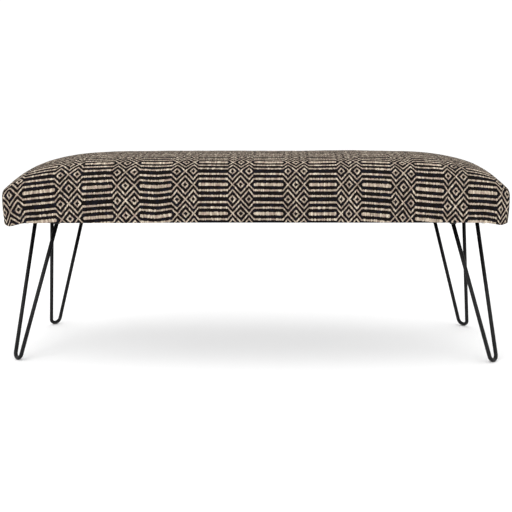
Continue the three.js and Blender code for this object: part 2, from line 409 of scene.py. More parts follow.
    def gloss(self, roughness: object, metallic: float = 0.0, specular: float = 0.5) -> None:
        """Sets how the shader reflects."""
        self.feed(self.shader.inputs["Roughness"], roughness)
        self.shader.inputs["Metallic"].default_value = metallic
        self.shader.inputs["Specular IOR Level"].default_value = specular

    def colour(self, value: object) -> None:
        """Sets the shader's colour."""
        self.feed(self.shader.inputs["Base Color"], (*value, 1.0) if isinstance(value, tuple) else value)


def new_sheet(name: str) -> NodeSheet:
    """An empty node sheet for a new material."""
    return NodeSheet(bpy.data.materials.new(name))


# ---------------------------------------------------------------------------------------------
# Finishes
# ---------------------------------------------------------------------------------------------


@dataclass(frozen=True)
class HandwovenCloth:
    """Black and cream cloth with columns of diamonds between banks of stripes. Sizes in metres."""

    repeat_across: float = 133 * MM
    repeat_up: float = 70.4 * MM
    first_row: float = 23 * MM
    tip: float = 19.5 * MM
    corner: float = 31.4 * MM
    stripe: float = 14.4 * MM
    second_line: float = 13.1 * MM
    line_half: float = 2.15 * MM
    bar_half: float = 3.75 * MM
    bar_end: float = 31.0 * MM
    ring_across: float = 9.6 * MM
    ring_up: float = 10.8 * MM
    ring_middle: float = 0.74
    ring_half: float = 0.205
    warp_pitch: float = 1.45 * MM
    weft_pitch: float = 1.15 * MM
    bead: float = 3.8 * MM
    cream: Triple = (0.545, 0.448, 0.345)
    pink_cream: Triple = (0.510, 0.375, 0.310)
    pale_cream: Triple = (0.690, 0.600, 0.475)
    black: Triple = (0.0055, 0.0040, 0.0036)
    navy: Triple = (0.0075, 0.0075, 0.0120)

    def stepped(self, sheet: NodeSheet, value: Socket, pitch: float) -> Socket:
        """A value held at the middle of each thread."""
        whole = sheet.maths("FLOOR", sheet.maths("DIVIDE", value, pitch))
        return sheet.times(sheet.plus(whole, 0.5), pitch)

    def ring(self, sheet: NodeSheet, across: Socket, up: Socket) -> Socket:
        """Distance outside a small diamond ring, in metres."""
        reach = sheet.plus(
            sheet.maths("DIVIDE", across, self.ring_across), sheet.maths("DIVIDE", up, self.ring_up)
        )
        off = sheet.maths("ABSOLUTE", sheet.minus(reach, self.ring_middle))
        return sheet.times(sheet.minus(off, self.ring_half), self.ring_across * 0.72)

    def figure(self, sheet: NodeSheet, along: Socket, up: Socket) -> Socket:
        """Distance outside the cream figure.

        Args:
            sheet: The node sheet.
            along: Metres along the weft.
            up: Metres along the warp.

        Returns:
            Metres, below 0 inside the cream.
        """
        half_row = self.repeat_up / 2
        across = sheet.maths("PINGPONG", along, self.repeat_across / 2)
        level = sheet.maths("PINGPONG", sheet.minus(up, self.first_row), half_row)
        inner_slope = (half_row - self.second_line) / self.tip
        outer_slope = self.stripe / (self.corner - self.tip)
        inner = sheet.times(sheet.minus(self.tip, across), inner_slope)
        outer = sheet.times(sheet.minus(across, self.tip), outer_slope)
        slant = sheet.maths("MAXIMUM", inner, sheet.maths("MINIMUM", outer, self.stripe))
        above = sheet.minus(level, slant)
        lines = sheet.least(
            sheet.maths("ABSOLUTE", above),
            sheet.maths("ABSOLUTE", sheet.minus(above, self.second_line)),
        )
        lines = sheet.minus(lines, self.line_half)
        past_end = sheet.maths("MAXIMUM", sheet.minus(self.bar_end + self.bar_half, across), 0.0)
        off_bar = sheet.times_plus(past_end, past_end, sheet.times(level, level))
        bar = sheet.minus(sheet.maths("SQRT", off_bar), self.bar_half)
        row_ring = self.ring(sheet, across, level)
        half_ring = self.ring(
            sheet,
            sheet.maths("ABSOLUTE", sheet.minus(across, self.tip)),
            sheet.minus(half_row, level),
        )
        return sheet.least(lines, bar, row_ring, half_ring)

    def make(self) -> Material:
        """Builds the material."""
        sheet = new_sheet("handwoven_cloth")
        place = sheet.cloth_place()
        along, up, _ = sheet.split(place)
        wander = sheet.times_plus(sheet.cloth_grain((60, 60, 1), 3.0), 3 * MM, -1.5 * MM)
        wander_up = sheet.times_plus(sheet.cloth_grain((35, 90, 1), 3.0), 2 * MM, -1 * MM)
        moved_along = sheet.plus(along, wander)
        moved_up = sheet.plus(up, wander_up)
        figure = self.figure(
            sheet,
            self.stepped(sheet, moved_along, self.warp_pitch),
            self.stepped(sheet, moved_up, self.weft_pitch),
        )
        # slubs: thick and thin places in the weft, some of them in line from row to row
        pitch = 1 / self.bead
        streaks = sheet.ramp(sheet.cloth_grain((0.5 * pitch, 9, 1), 1.0), 0.36, 0.64)
        knots = sheet.ramp(sheet.cloth_grain((pitch, 62, 1), 2.0), 0.34, 0.66)
        slub = sheet.times_plus(streaks, 0.34, sheet.times(knots, 0.66))
        yarn_edge = sheet.times_plus(
            sheet.cloth_grain((900, 900, 1), 1.0), 1.4 * MM, -0.7 * MM
        )
        yarn_edge = sheet.plus(yarn_edge, sheet.times_plus(slub, -0.9 * MM, 0.45 * MM))
        cream_share = sheet.ramp(sheet.plus(figure, yarn_edge), 0.35 * MM, -0.35 * MM)

        # round weft yarns, each held down by a warp thread at every other crossing
        weft = sheet.maths(
            "ABSOLUTE", sheet.maths("SINE", sheet.times(moved_up, math.pi / self.weft_pitch))
        )
        rows = sheet.maths("FLOOR", sheet.maths("DIVIDE", moved_up, self.weft_pitch))
        shift = sheet.times(sheet.maths("MODULO", rows, 2.0), math.pi / 2)
        beads = sheet.maths(
            "ABSOLUTE",
            sheet.maths("SINE", sheet.times_plus(moved_along, math.pi / (2 * self.warp_pitch), shift)),
        )
        beads = sheet.maths("POWER", beads, 0.5)
        tie = sheet.cloth_grain((290, 12, 1), 1.0)
        tie_dark = sheet.ramp(tie, 0.60, 0.70)
        fibre = sheet.cloth_grain((3200, 5200, 1), 2.0, 0.6)

        pinker = sheet.ramp(sheet.cloth_grain((120, 160, 1), 2.0), 0.47, 0.64)
        paler = sheet.ramp(slub, 0.55, 0.95)
        cream = sheet.blend(pinker, self.cream, self.pink_cream)
        cream = sheet.blend(paler, cream, self.pale_cream)
        # the cream's own tone from slubs, warp ties and fibres, with painted shade between the weft yarns
        tone_and_groove_shade = sheet.times_plus(slub, 0.58, 0.56)
        tone_and_groove_shade = sheet.times(tone_and_groove_shade, sheet.ramp(tie_dark, 0.0, 1.0, 1.0, 0.62))
        # painted shade: the cream is darkened in the grooves between the round weft yarns
        tone_and_groove_shade = sheet.times(tone_and_groove_shade, sheet.ramp(weft, 0.0, 0.9, 0.70, 1.05))
        tone_and_groove_shade = sheet.times(tone_and_groove_shade, sheet.ramp(fibre, 0.3, 0.7, 0.90, 1.08))
        cream = sheet.blend(1.0, cream, sheet.grey(tone_and_groove_shade), "MULTIPLY")

        bluer = sheet.ramp(sheet.cloth_grain((75, 160, 1), 2.0), 0.45, 0.65)
        black = sheet.blend(bluer, self.black, self.navy)
        fleck = sheet.ramp(sheet.cloth_grain((650, 900, 1), 1.0), 0.64, 0.80, 0.0, 0.07)
        black = sheet.blend(fleck, black, self.cream)
        sheet.colour(sheet.blend(cream_share, black, cream))

        height = sheet.times(weft, sheet.times_plus(beads, 0.35, 0.65))
        height = sheet.times(height, sheet.times_plus(cream_share, 0.35, 0.45))
        height = sheet.plus(height, sheet.times(slub, 0.25))
        height = sheet.plus(height, sheet.times(fibre, 0.08))
        sheet.relief(height, 0.75, 0.9 * MM)
        sheet.gloss(sheet.ramp(fibre, 0.2, 0.8, 0.82, 0.95), specular=0.04)
        return sheet.material


@dataclass(frozen=True)
class PowderCoat:
    """Satin black powder coat on steel, a little scuffed low down."""

    black: Triple = (0.0040, 0.0040, 0.0045)
    dusty: Triple = (0.010, 0.010, 0.011)
    scuffed_below: float = 5 * MM

    def make(self) -> Material:
        """Builds the material."""
        sheet = new_sheet("black_powder_coat")
        place = sheet.object_place()
        _, _, level = sheet.split(place)
        peel = sheet.grain(place, 1500.0, 2.0)
        cloud = sheet.grain(place, 28.0, 4.0, 0.6)
        scratch = sheet.ramp(sheet.object_grain((260, 260, 1800), 2.0), 0.64, 0.72)
        low = sheet.ramp(level, self.scuffed_below, 0.5 * MM)
        scuff = sheet.times(low, sheet.ramp(sheet.grain(place, 700.0, 3.0), 0.46, 0.58))
        tone = sheet.blend(sheet.ramp(cloud, 0.45, 0.75), self.black, self.dusty)
        tone = sheet.blend(sheet.times(scratch, 0.18), tone, (0.06, 0.06, 0.06))
        sheet.colour(sheet.blend(scuff, tone, (0.20, 0.19, 0.18)))
        rough = sheet.ramp(cloud, 0.3, 0.7, 0.30, 0.40)
        sheet.gloss(sheet.plus(rough, sheet.times(scuff, 0.2)), specular=0.16)
        sheet.relief(sheet.plus(peel, sheet.times(scratch, -0.3)), 0.22, 0.10 * MM)
        return sheet.material


@dataclass(frozen=True)
class ZincPlate:
    """Bright zinc plating with a faint yellow and blue bloom."""

    bright: Triple = (0.62, 0.63, 0.65)
    warm: Triple = (0.66, 0.60, 0.45)
    dull: Triple = (0.36, 0.38, 0.41)

    def make(self) -> Material:
        """Builds the material."""
        sheet = new_sheet("zinc_plate")
        place = sheet.object_place()
        bloom = sheet.grain(place, 160.0, 3.0)
        spots = sheet.grain(place, 900.0, 2.0)
        tone = sheet.blend(sheet.ramp(bloom, 0.45, 0.7), self.bright, self.warm)
        sheet.colour(sheet.blend(sheet.ramp(spots, 0.52, 0.7), tone, self.dull))
        sheet.gloss(sheet.ramp(spots, 0.35, 0.7, 0.24, 0.42), metallic=1.0)
        sheet.relief(spots, 0.15, 0.08 * MM)
        return sheet.material


@dataclass(frozen=True)
class SpunBonded:
    """Thin black non-woven cloth, felted from fine fibres and pressed with a grid of small dots."""

    black: Triple = (0.010, 0.010, 0.011)
    fibre: Triple = (0.040, 0.040, 0.043)
    dot_pitch: float = 2.4 * MM

    def make(self) -> Material:
        """Builds the material."""
        sheet = new_sheet("non_woven_cloth")
        place = sheet.object_place()
        x, y, _ = sheet.split(place)
        along = sheet.object_grain((260, 1900, 400), 3.0, 0.65)
        across = sheet.object_grain((1700, 300, 400), 3.0, 0.65)
        felt = sheet.maths("MAXIMUM", along, across)
        dots = sheet.times(
            sheet.maths("SINE", sheet.times(x, 2 * math.pi / self.dot_pitch)),
            sheet.maths("SINE", sheet.times(y, 2 * math.pi / self.dot_pitch)),
        )
        pressed = sheet.ramp(dots, 0.35, 0.75)
        sheet.colour(sheet.blend(sheet.ramp(felt, 0.52, 0.78), self.black, self.fibre))
        sheet.gloss(sheet.ramp(pressed, 0.0, 1.0, 0.86, 0.55), specular=0.3)
        sheet.relief(sheet.minus(felt, sheet.times(pressed, 0.5)), 0.6, 0.25 * MM)
        return sheet.material


@dataclass(frozen=True)
class FibreWadding:
    """White polyester wadding."""

    white: Triple = (0.82, 0.81, 0.78)
    shadow: Triple = (0.60, 0.59, 0.56)

    def make(self) -> Material:
        """Builds the material."""
        sheet = new_sheet("fibre_wadding")
        place = sheet.object_place()
        tufts = sheet.grain(place, 55.0, 4.0, 0.6)
        hair = sheet.object_grain((1400, 500, 900), 3.0, 0.7)
        sheet.colour(sheet.blend(sheet.ramp(hair, 0.35, 0.65), self.shadow, self.white))
        sheet.gloss(0.95, specular=0.15)
        sheet.shader.inputs["Sheen Weight"].default_value = 0.4
        sheet.relief(sheet.plus(tufts, sheet.times(hair, 0.5)), 0.9, 2.0 * MM)
        return sheet.material


@dataclass(frozen=True)
class OpenCellFoam:
    """Cut polyurethane foam, cream, with open cells, their hollows darkened with painted shade."""

    cream: Triple = (0.78, 0.68, 0.42)
    # cell is the painted shade colour for the hollows of the open cells
    cell: Triple = (0.52, 0.42, 0.22)

    def make(self) -> Material:
        """Builds the material."""
        sheet = new_sheet("open_cell_foam")
        place = sheet.object_place()
        cells = sheet.tree.nodes.new("ShaderNodeTexVoronoi")
        sheet.link(place, cells.inputs["Vector"])
        cells.inputs["Scale"].default_value = 750.0
        pits = sheet.ramp(cells.outputs["Distance"], 0.1, 0.5)
        patch = sheet.grain(place, 12.0, 3.0)
        # painted shade: the cell hollows are coloured darker than the foam
        tone = sheet.blend(pits, self.cell, self.cream)
        sheet.colour(sheet.blend(sheet.ramp(patch, 0.4, 0.7, 0.0, 0.25), tone, (0.70, 0.56, 0.28)))
        sheet.gloss(0.93, specular=0.2)
        sheet.relief(pits, 0.7, 0.8 * MM)
        return sheet.material


@dataclass(frozen=True)
class BirchPly:
    """Birch plywood: plain faces, and light and dark plies along the cut edges."""

    low: float
    high: float
    plies: int = 13
    pale: Triple = (0.62, 0.44, 0.25)
    figure: Triple = (0.47, 0.30, 0.15)
    glue: Triple = (0.20, 0.11, 0.05)

    def make(self) -> Material:
        """Builds the material."""
        sheet = new_sheet("birch_plywood")
        place = sheet.object_place()
        _, _, level = sheet.split(place)
        grain = sheet.object_grain((9, 210, 60), 4.0, 0.6)
        cross = sheet.object_grain((230, 230, 4), 3.0, 0.6)
        within = sheet.maths(
            "MINIMUM", sheet.minus(level, self.low), sheet.minus(self.high, level)
        )
        flat = sheet.ramp(within, 0.45 * MM, 0.1 * MM)
        ply = (self.high - self.low) / self.plies
        band = sheet.maths("PINGPONG", sheet.minus(level, self.low), ply)
        band = sheet.ramp(sheet.maths("DIVIDE", band, ply), 0.35, 0.65)
        edge = sheet.blend(sheet.times(band, 0.7), self.pale, self.glue)
        edge = sheet.blend(sheet.ramp(cross, 0.4, 0.7, 0.0, 0.5), edge, self.figure)
        face = sheet.blend(sheet.ramp(grain, 0.4, 0.68), self.pale, self.figure)
        sheet.colour(sheet.blend(flat, edge, face))
        sheet.gloss(sheet.ramp(grain, 0.3, 0.7, 0.52, 0.7), specular=0.35)
        sheet.relief(grain, 0.35, 0.25 * MM)
        return sheet.material


@dataclass(frozen=True)
class PaleFloor:
    """The plain pale floor that the bench stands on."""

    tone: Triple = (0.96, 0.96, 0.96)

    def make(self) -> Material:
        """Builds the material."""
        sheet = new_sheet("pale_floor")
        sheet.colour(self.tone)
        sheet.gloss(0.9, specular=0.1)
        return sheet.material


# ---------------------------------------------------------------------------------------------
# The soft seat
# ---------------------------------------------------------------------------------------------


@dataclass(frozen=True)
class CushionShape:
    """The crowned form that the cloth, the wadding and the foam share. Sizes in metres.

    Args:
        half_length: Middle of the seat to the cloth's end.
        half_depth: Middle of the seat to the cloth's front.
        underside: Level of the cloth under the board.
        crest: Level of the highest point.
    """

    half_length: float
    half_depth: float
    underside: float
    crest: float
    corner: float = 22 * MM
    crown_rise: float = 79 * MM
    crown_drop: float = 10 * MM
    bulge_drop: float = 21.8 * MM
    board_height: float = 1.9 * MM
    draw: float = 3.4 * MM
    end_power: float = 7.3
    end_root: float = 1.48
    side_power: float = 3.0
    side_root: float = 4.2

    @property
    def shoulder(self) -> float:
        """Level where the end walls round over."""
        return self.crest - self.crown_rise

    @property
    def bulge(self) -> float:
        """Level where the walls are fullest."""
        return self.shoulder - self.bulge_drop

    @property
    def board_underside(self) -> float:
        """Level of the seat board's underside."""
        return self.underside + self.board_height

    def crown_level(self, x: float, y: float, depth: float) -> float:
        """Level of the top over a point of the plan, for a layer that deep inside the cloth."""
        u = min(abs(x) / (self.half_length - depth), 1.0)
        v = min(abs(y) / (self.half_depth - depth), 1.0)
        end_fall = (1 - u**self.end_power) ** (1 / self.end_root)
        side_fall = (1 - v**self.side_power) ** (1 / self.side_root)
        return self.shoulder - depth + self.crown_rise * end_fall * side_fall - self.crown_drop * v * v

    def wall_draw(self, level: float) -> float:
        """How far the wall is drawn in at a level."""
        below = max(self.bulge - level, 0.0) / (self.bulge - self.board_underside)
        return self.draw * below**1.5


@dataclass(frozen=True)
class ClothHang:
    """How the weave lies on the seat. Sizes in metres."""

    middle_column: float = -29 * MM
    stretch: float = 1.01
    tighten: float = 0.085
    slips: tuple[Triple, ...] = (
        (-0.309, 0.05, -3.5 * MM), (0.232, 0.05, -3.0 * MM), (-0.164, 0.04, 2.5 * MM),
    )
    left_lean: float = 0.095
    left_dip: Triple = (0.250, 0.340, 25 * MM)
    right_dip: Triple = (0.220, 0.500, 21 * MM)
    pulls: tuple[Triple, ...] = (
        (-0.236, 0.040, 8.0 * MM), (-0.455, 0.030, -1.5 * MM), (0.130, 0.120, 1.2 * MM),
    )

    def along(self, arc: float) -> float:
        """Place along the weft of a point that far along the seat from its middle."""
        slip = sum(shift * math.exp(-(((arc - at) / width) ** 2)) for at, width, shift in self.slips)
        offset = arc - self.middle_column - slip
        return (self.stretch - math.sqrt(self.stretch**2 - 4 * self.tighten * offset)) / (2 * self.tighten)

    def lean(self, x: float) -> float:
        """How far the columns lean towards the middle down the front, for each metre down."""
        return self.left_lean * smoothstep(-x, 400 * MM, 580 * MM)

    def row_dip(self, x: float) -> float:
        """How much lower the rows run on the front and the back at that length."""
        start, over, left_drop = self.left_dip
        low, high, right_drop = self.right_dip
        ends = left_drop * (max(-x - start, 0.0) / over) ** 1.1 + right_drop * smoothstep(x, low, high)
        return ends + sum(depth * math.exp(-(((x - at) / width) ** 2)) for at, width, depth in self.pulls)


@dataclass
class CushionGrid:
    """A crowned cap and its walls as rows of faces, with the cloth's own coordinates at each corner.

    Args:
        shape: The form.
        depth: How far inside the cloth's outer face this layer lies.
        cell: Length of a face.
        wall_bottom: Level where the walls end.
        folds: (inset, level) of the turned rings under the walls, from the outside in.
        pleats: Whether the corners are pleated.
    """

    shape: CushionShape
    depth: float
    cell: float
    wall_bottom: float
    folds: Sequence[tuple[float, float]] = ()
    pleats: bool = False
    hang: ClothHang = field(default_factory=ClothHang)
    pleat_gap: float = 1.2 * MM
    half_section: float = 255.6 * MM
    clear_of_pleat: float = 0.35
    shoulder_round: float = 12 * MM
    shoulder_reach: float = 45 * MM

    def crown_arc(
        self, half: float, samples: int, level: Callable[[float], float]
    ) -> tuple[np.ndarray, np.ndarray]:
        """Measures along one line of the crown, from its middle to its edge.

        Args:
            half: How far the line runs on the plan.
            samples: How many places are measured.
            level: The crown's level at a place on the line.

        Returns:
            The length along the crown, and the place on the plan.
        """
        places = half * np.sin(np.linspace(0.0, math.pi / 2, samples))
        levels = np.array([level(place) for place in places])
        arc = np.concatenate([[0.0], np.cumsum(np.hypot(np.diff(places), np.diff(levels)))])
        return arc, places

    def lengthwise(self) -> list[float]:
        """Where the rows cross the seat's length, evenly spaced along the crown."""
        half = self.shape.half_length - self.depth
        arc, x = self.crown_arc(half, 4000, lambda place: self.shape.crown_level(place, 0.0, self.depth))
        count = round(arc[-1] / self.cell)
        right = np.interp(np.linspace(0, arc[-1], count + 1), arc, x)
        return [-place for place in right[:0:-1]] + list(right)

    def depthwise(self) -> list[float]:
        """Shares of the way from the crest to the front and back edges."""
        half_depth = self.shape.half_depth - self.depth
        count = round(self.half_section / self.cell)
        shares = [step / count for step in range(count + 1)]
        if self.pleats:
            pleat = (half_depth - self.shape.corner) / half_depth
            gap = self.pleat_gap / half_depth
            clear = self.clear_of_pleat / count
            shares = [s for s in shares if min(abs(s - pleat), abs(s - pleat + gap)) > clear]
            shares = sorted([*shares, pleat, pleat - gap])
        return [-share for share in shares[:0:-1]] + shares

    def section(self, x: float) -> tuple[np.ndarray, np.ndarray]:
        """Arc length and Y of the crown's half section at that length."""
        half = self.shape.half_depth - self.depth
        return self.crown_arc(half, 2500, lambda place: self.shape.crown_level(x, place, self.depth))

    def plan_point(self, x: float, y: float) -> tuple[float, float]:
        """A point of the plan, drawn in where the corner is round."""
        shape = self.shape
        return rounded(
            x, y, shape.half_length - self.depth, shape.half_depth - self.depth, shape.corner - self.depth
        )

    def outward(self, x: float, y: float) -> Vector:
        """Direction straight out of the plan's outline at a point on it."""
        radius = self.shape.corner - self.depth
        out_x = max(abs(x) - (self.shape.half_length - self.depth - radius), 0.0)
        out_y = max(abs(y) - (self.shape.half_depth - self.depth - radius), 0.0)
        return Vector((math.copysign(out_x, x), math.copysign(out_y, y), 0.0)).normalized()

    def build(self) -> BMesh:
        """Makes the cap as a grid and runs its edge down into walls and folds.

        Returns:
            The open shell. The weave coordinates of the cap's corners are worked out and kept on the grid.
        """
        lengths = self.lengthwise()
        shares = self.depthwise()
        last_i, last_j = len(lengths) - 1, len(shares) - 1
        bm = bmesh.new()
        bmesh.ops.create_grid(bm, x_segments=last_i, y_segments=last_j, size=1.0)
        cap: dict[tuple[int, int], bmesh.types.BMVert] = {}
        for vert in bm.verts:
            cap[round((vert.co.x + 1) / 2 * last_i), round((vert.co.y + 1) / 2 * last_j)] = vert
        reach = []
        for i, x in enumerate(lengths):
            arc, across = self.section(x)
            reach.append(arc[-1])
            for j, share in enumerate(shares):
                y = math.copysign(np.interp(abs(share) * arc[-1], arc, across), share)
                plan_x, plan_y = self.plan_point(x, y)
                cap[i, j].co = (plan_x, plan_y, self.shape.crown_level(plan_x, plan_y, self.depth))
        self.cap, self.reach, self.lengths, self.shares = cap, reach, lengths, shares
        self.lay_weave()
        self.walls(bm)
        self.soften_shoulder(bm)
        return bm

    def soften_shoulder(self, bm: BMesh) -> None:
        """Rounds the turn from the crown into the walls, as foam and wadding do."""
        shape = self.shape
        rim_x, rim_y = shape.half_length - self.shoulder_reach, shape.half_depth - self.shoulder_reach
        near = [
            vert for vert in bm.verts
            if max(abs(vert.co.x) - rim_x, abs(vert.co.y) - rim_y) > 0
            and abs(vert.co.z - shape.shoulder) < self.shoulder_reach
        ]
        bm.normal_update()
        before = [(vert, vert.co.copy(), vert.normal.copy()) for vert in near]
        for _ in range(round(2 * (self.shoulder_round / self.cell) ** 2)):
            bmesh.ops.smooth_vert(
                bm, verts=near, factor=0.5, use_axis_x=True, use_axis_y=True, use_axis_z=True
            )
        for vert, place, normal in before:
            vert.co = place + normal * (vert.co - place).dot(normal)

    def lay_weave(self) -> None:
        """Works out the weave coordinates of the cap's corners."""
        last_i, last_j = len(self.lengths) - 1, len(self.shares) - 1
        middle_i = last_i // 2
        wall = self.shape.shoulder - self.shape.crown_drop - self.shape.underside
        self.full = self.reach[middle_i] + wall
        self.weave: dict[tuple[int, int], tuple[float, float]] = {}
        self.row_scale = []
        for i, x in enumerate(self.lengths):
            end_wall = self.cap[i, 0].co.z - self.shape.underside
            self.row_scale.append((self.full - self.hang.row_dip(x)) / (self.reach[i] + end_wall))
        for j, share in enumerate(self.shares):
            row = [self.cap[i, j].co for i in range(last_i + 1)]
            steps = [0.0] + [(b - a).length for a, b in zip(row, row[1:])]
            arcs = np.cumsum(steps)
            for i in range(last_i + 1):
                up = share * self.reach[i] * self.row_scale[i]
                self.weave[i, j] = (arcs[i] - arcs[middle_i], self.full + up)

    def edge_ring(self) -> list[tuple[int, int]]:
        """The cap's outer corners in order, counterclockwise from the front left."""
        last_i, last_j = len(self.lengths) - 1, len(self.shares) - 1
        return (
            [(i, 0) for i in range(last_i)]
            + [(last_i, j) for j in range(last_j)]
            + [(i, last_j) for i in range(last_i, 0, -1)]
            + [(0, j) for j in range(last_j, 0, -1)]
        )

    def walls(self, bm: BMesh) -> None:
        """Runs the cap's edge down the walls and round the folds, ring by ring."""
        ring = self.edge_ring()
        tops = [self.cap[key].co.copy() for key in ring]
        outs = [self.outward(point.x, point.y) for point in tops]
        count = round((self.shape.shoulder - self.wall_bottom) / self.cell)
        places: list[list[Vector]] = []
        for step in range(1, count + 1):
            share = step / count
            level_ring = []
            for top, out in zip(tops, outs):
                level = top.z + (self.wall_bottom - top.z) * share
                point = Vector((top.x, top.y, level)) - out * self.shape.wall_draw(level)
                level_ring.append(point)
            places.append(level_ring)
        for inset, level in self.folds:
            places.append([Vector((top.x, top.y, level)) - out * inset for top, out in zip(tops, outs)])
        verts = [self.cap[key] for key in ring]
        self.rings = [verts]
        for ring_places in places:
            pairs = [bm.edges.get((a, b)) for a, b in zip(verts, verts[1:] + verts[:1])]
            grown = bmesh.ops.extrude_edge_only(bm, edges=pairs)["geom"]
            fresh = {item for item in grown if isinstance(item, bmesh.types.BMVert)}
            following = [
                next(e.other_vert(vert) for e in vert.link_edges if e.other_vert(vert) in fresh)
                for vert in verts
            ]
            for vert, place in zip(following, ring_places):
                vert.co = place
            verts = following
            self.rings.append(verts)
        self.ring_keys = ring


@dataclass(frozen=True)
class Plumping:
    """Presses the cloth outwards from inside, as the foam under it does. Sizes in metres."""

    frames: int = 20
    quality: int = 5
    pressure: float = 4.0
    crown_move: float = 0.8 * MM
    lower_move: float = 0.4 * MM
    side_move: float = 2.6 * MM
    upper_share: float = 0.12
    lower_from: float = 34 * MM
    lower_over: float = 50 * MM
    sink: float = 0.2 * MM

    def run(self, piece: Piece, held: Sequence[float], shape: CushionShape) -> None:
        """Runs the cloth under pressure and keeps a limited share of its movement.

        Args:
            piece: The cloth, one layer thick.
            held: How firmly each corner is stapled, from 0 to 1.
            shape: The cushion's outer form.
        """
        pins = piece.vertex_groups.new(name="stapled")
        for index, weight in enumerate(held):
            if weight > 0:
                pins.add([index], weight, "REPLACE")
        cloth = piece.modifiers.new("pressed_out", "CLOTH")
        settings = cloth.settings
        settings.quality = self.quality
        settings.vertex_group_mass = pins.name
        settings.use_pressure = True
        settings.uniform_pressure_force = self.pressure
        settings.effector_weights.gravity = 0.0
        cloth.point_cache.frame_end = self.frames
        before = self.places(piece.data)
        scene = bpy.context.scene
        for step in range(1, self.frames + 1):
            scene.frame_set(step)
        after = self.places(piece.evaluated_get(bpy.context.evaluated_depsgraph_get()).data)
        piece.modifiers.clear()
        piece.vertex_groups.clear()
        scene.frame_set(1)
        normals = np.empty(len(before) * 3)
        piece.data.vertices.foreach_get("normal", normals)
        moves = self.limited(after - before, before, normals.reshape(-1, 3), shape)
        LOG.info("%s pressed out by %.1f mm at most", piece.name, np.abs(moves).max() / MM)
        piece.data.vertices.foreach_set("co", (before + moves).ravel())
        piece.data.update()

    def places(self, mesh: bpy.types.Mesh) -> np.ndarray:
        """The places of a mesh's corners, one to a row."""
        flat = np.empty(len(mesh.vertices) * 3)
        mesh.vertices.foreach_get("co", flat)
        return flat.reshape(-1, 3)

    def limited(
        self, moves: np.ndarray, places: np.ndarray, normals: np.ndarray, shape: CushionShape
    ) -> np.ndarray:
        """Keeps each move within what the real cloth stands proud by.

        Args:
            moves: How far each corner moved.
            places: Where it started.
            normals: Which way it faces.
            shape: The cushion's outer form.

        Returns:
            The limited moves.
        """
        lowered = np.clip((shape.shoulder + self.lower_from - places[:, 2]) / self.lower_over, 0, 1)
        sideways = self.side_move * (self.upper_share + (1 - self.upper_share) * lowered)
        upright = self.crown_move + (self.lower_move - self.crown_move) * lowered
        kept = moves.copy()
        for columns, limit in ((slice(0, 2), sideways), (slice(2, 3), upright)):
            length = np.linalg.norm(moves[:, columns], axis=1) + 1e-9
            kept[:, columns] *= (limit * np.tanh(length / limit) / length)[:, None]
        outward = (kept * normals).sum(axis=1)
        kept += normals * np.maximum(-self.sink - outward, 0.0)[:, None]
        return kept


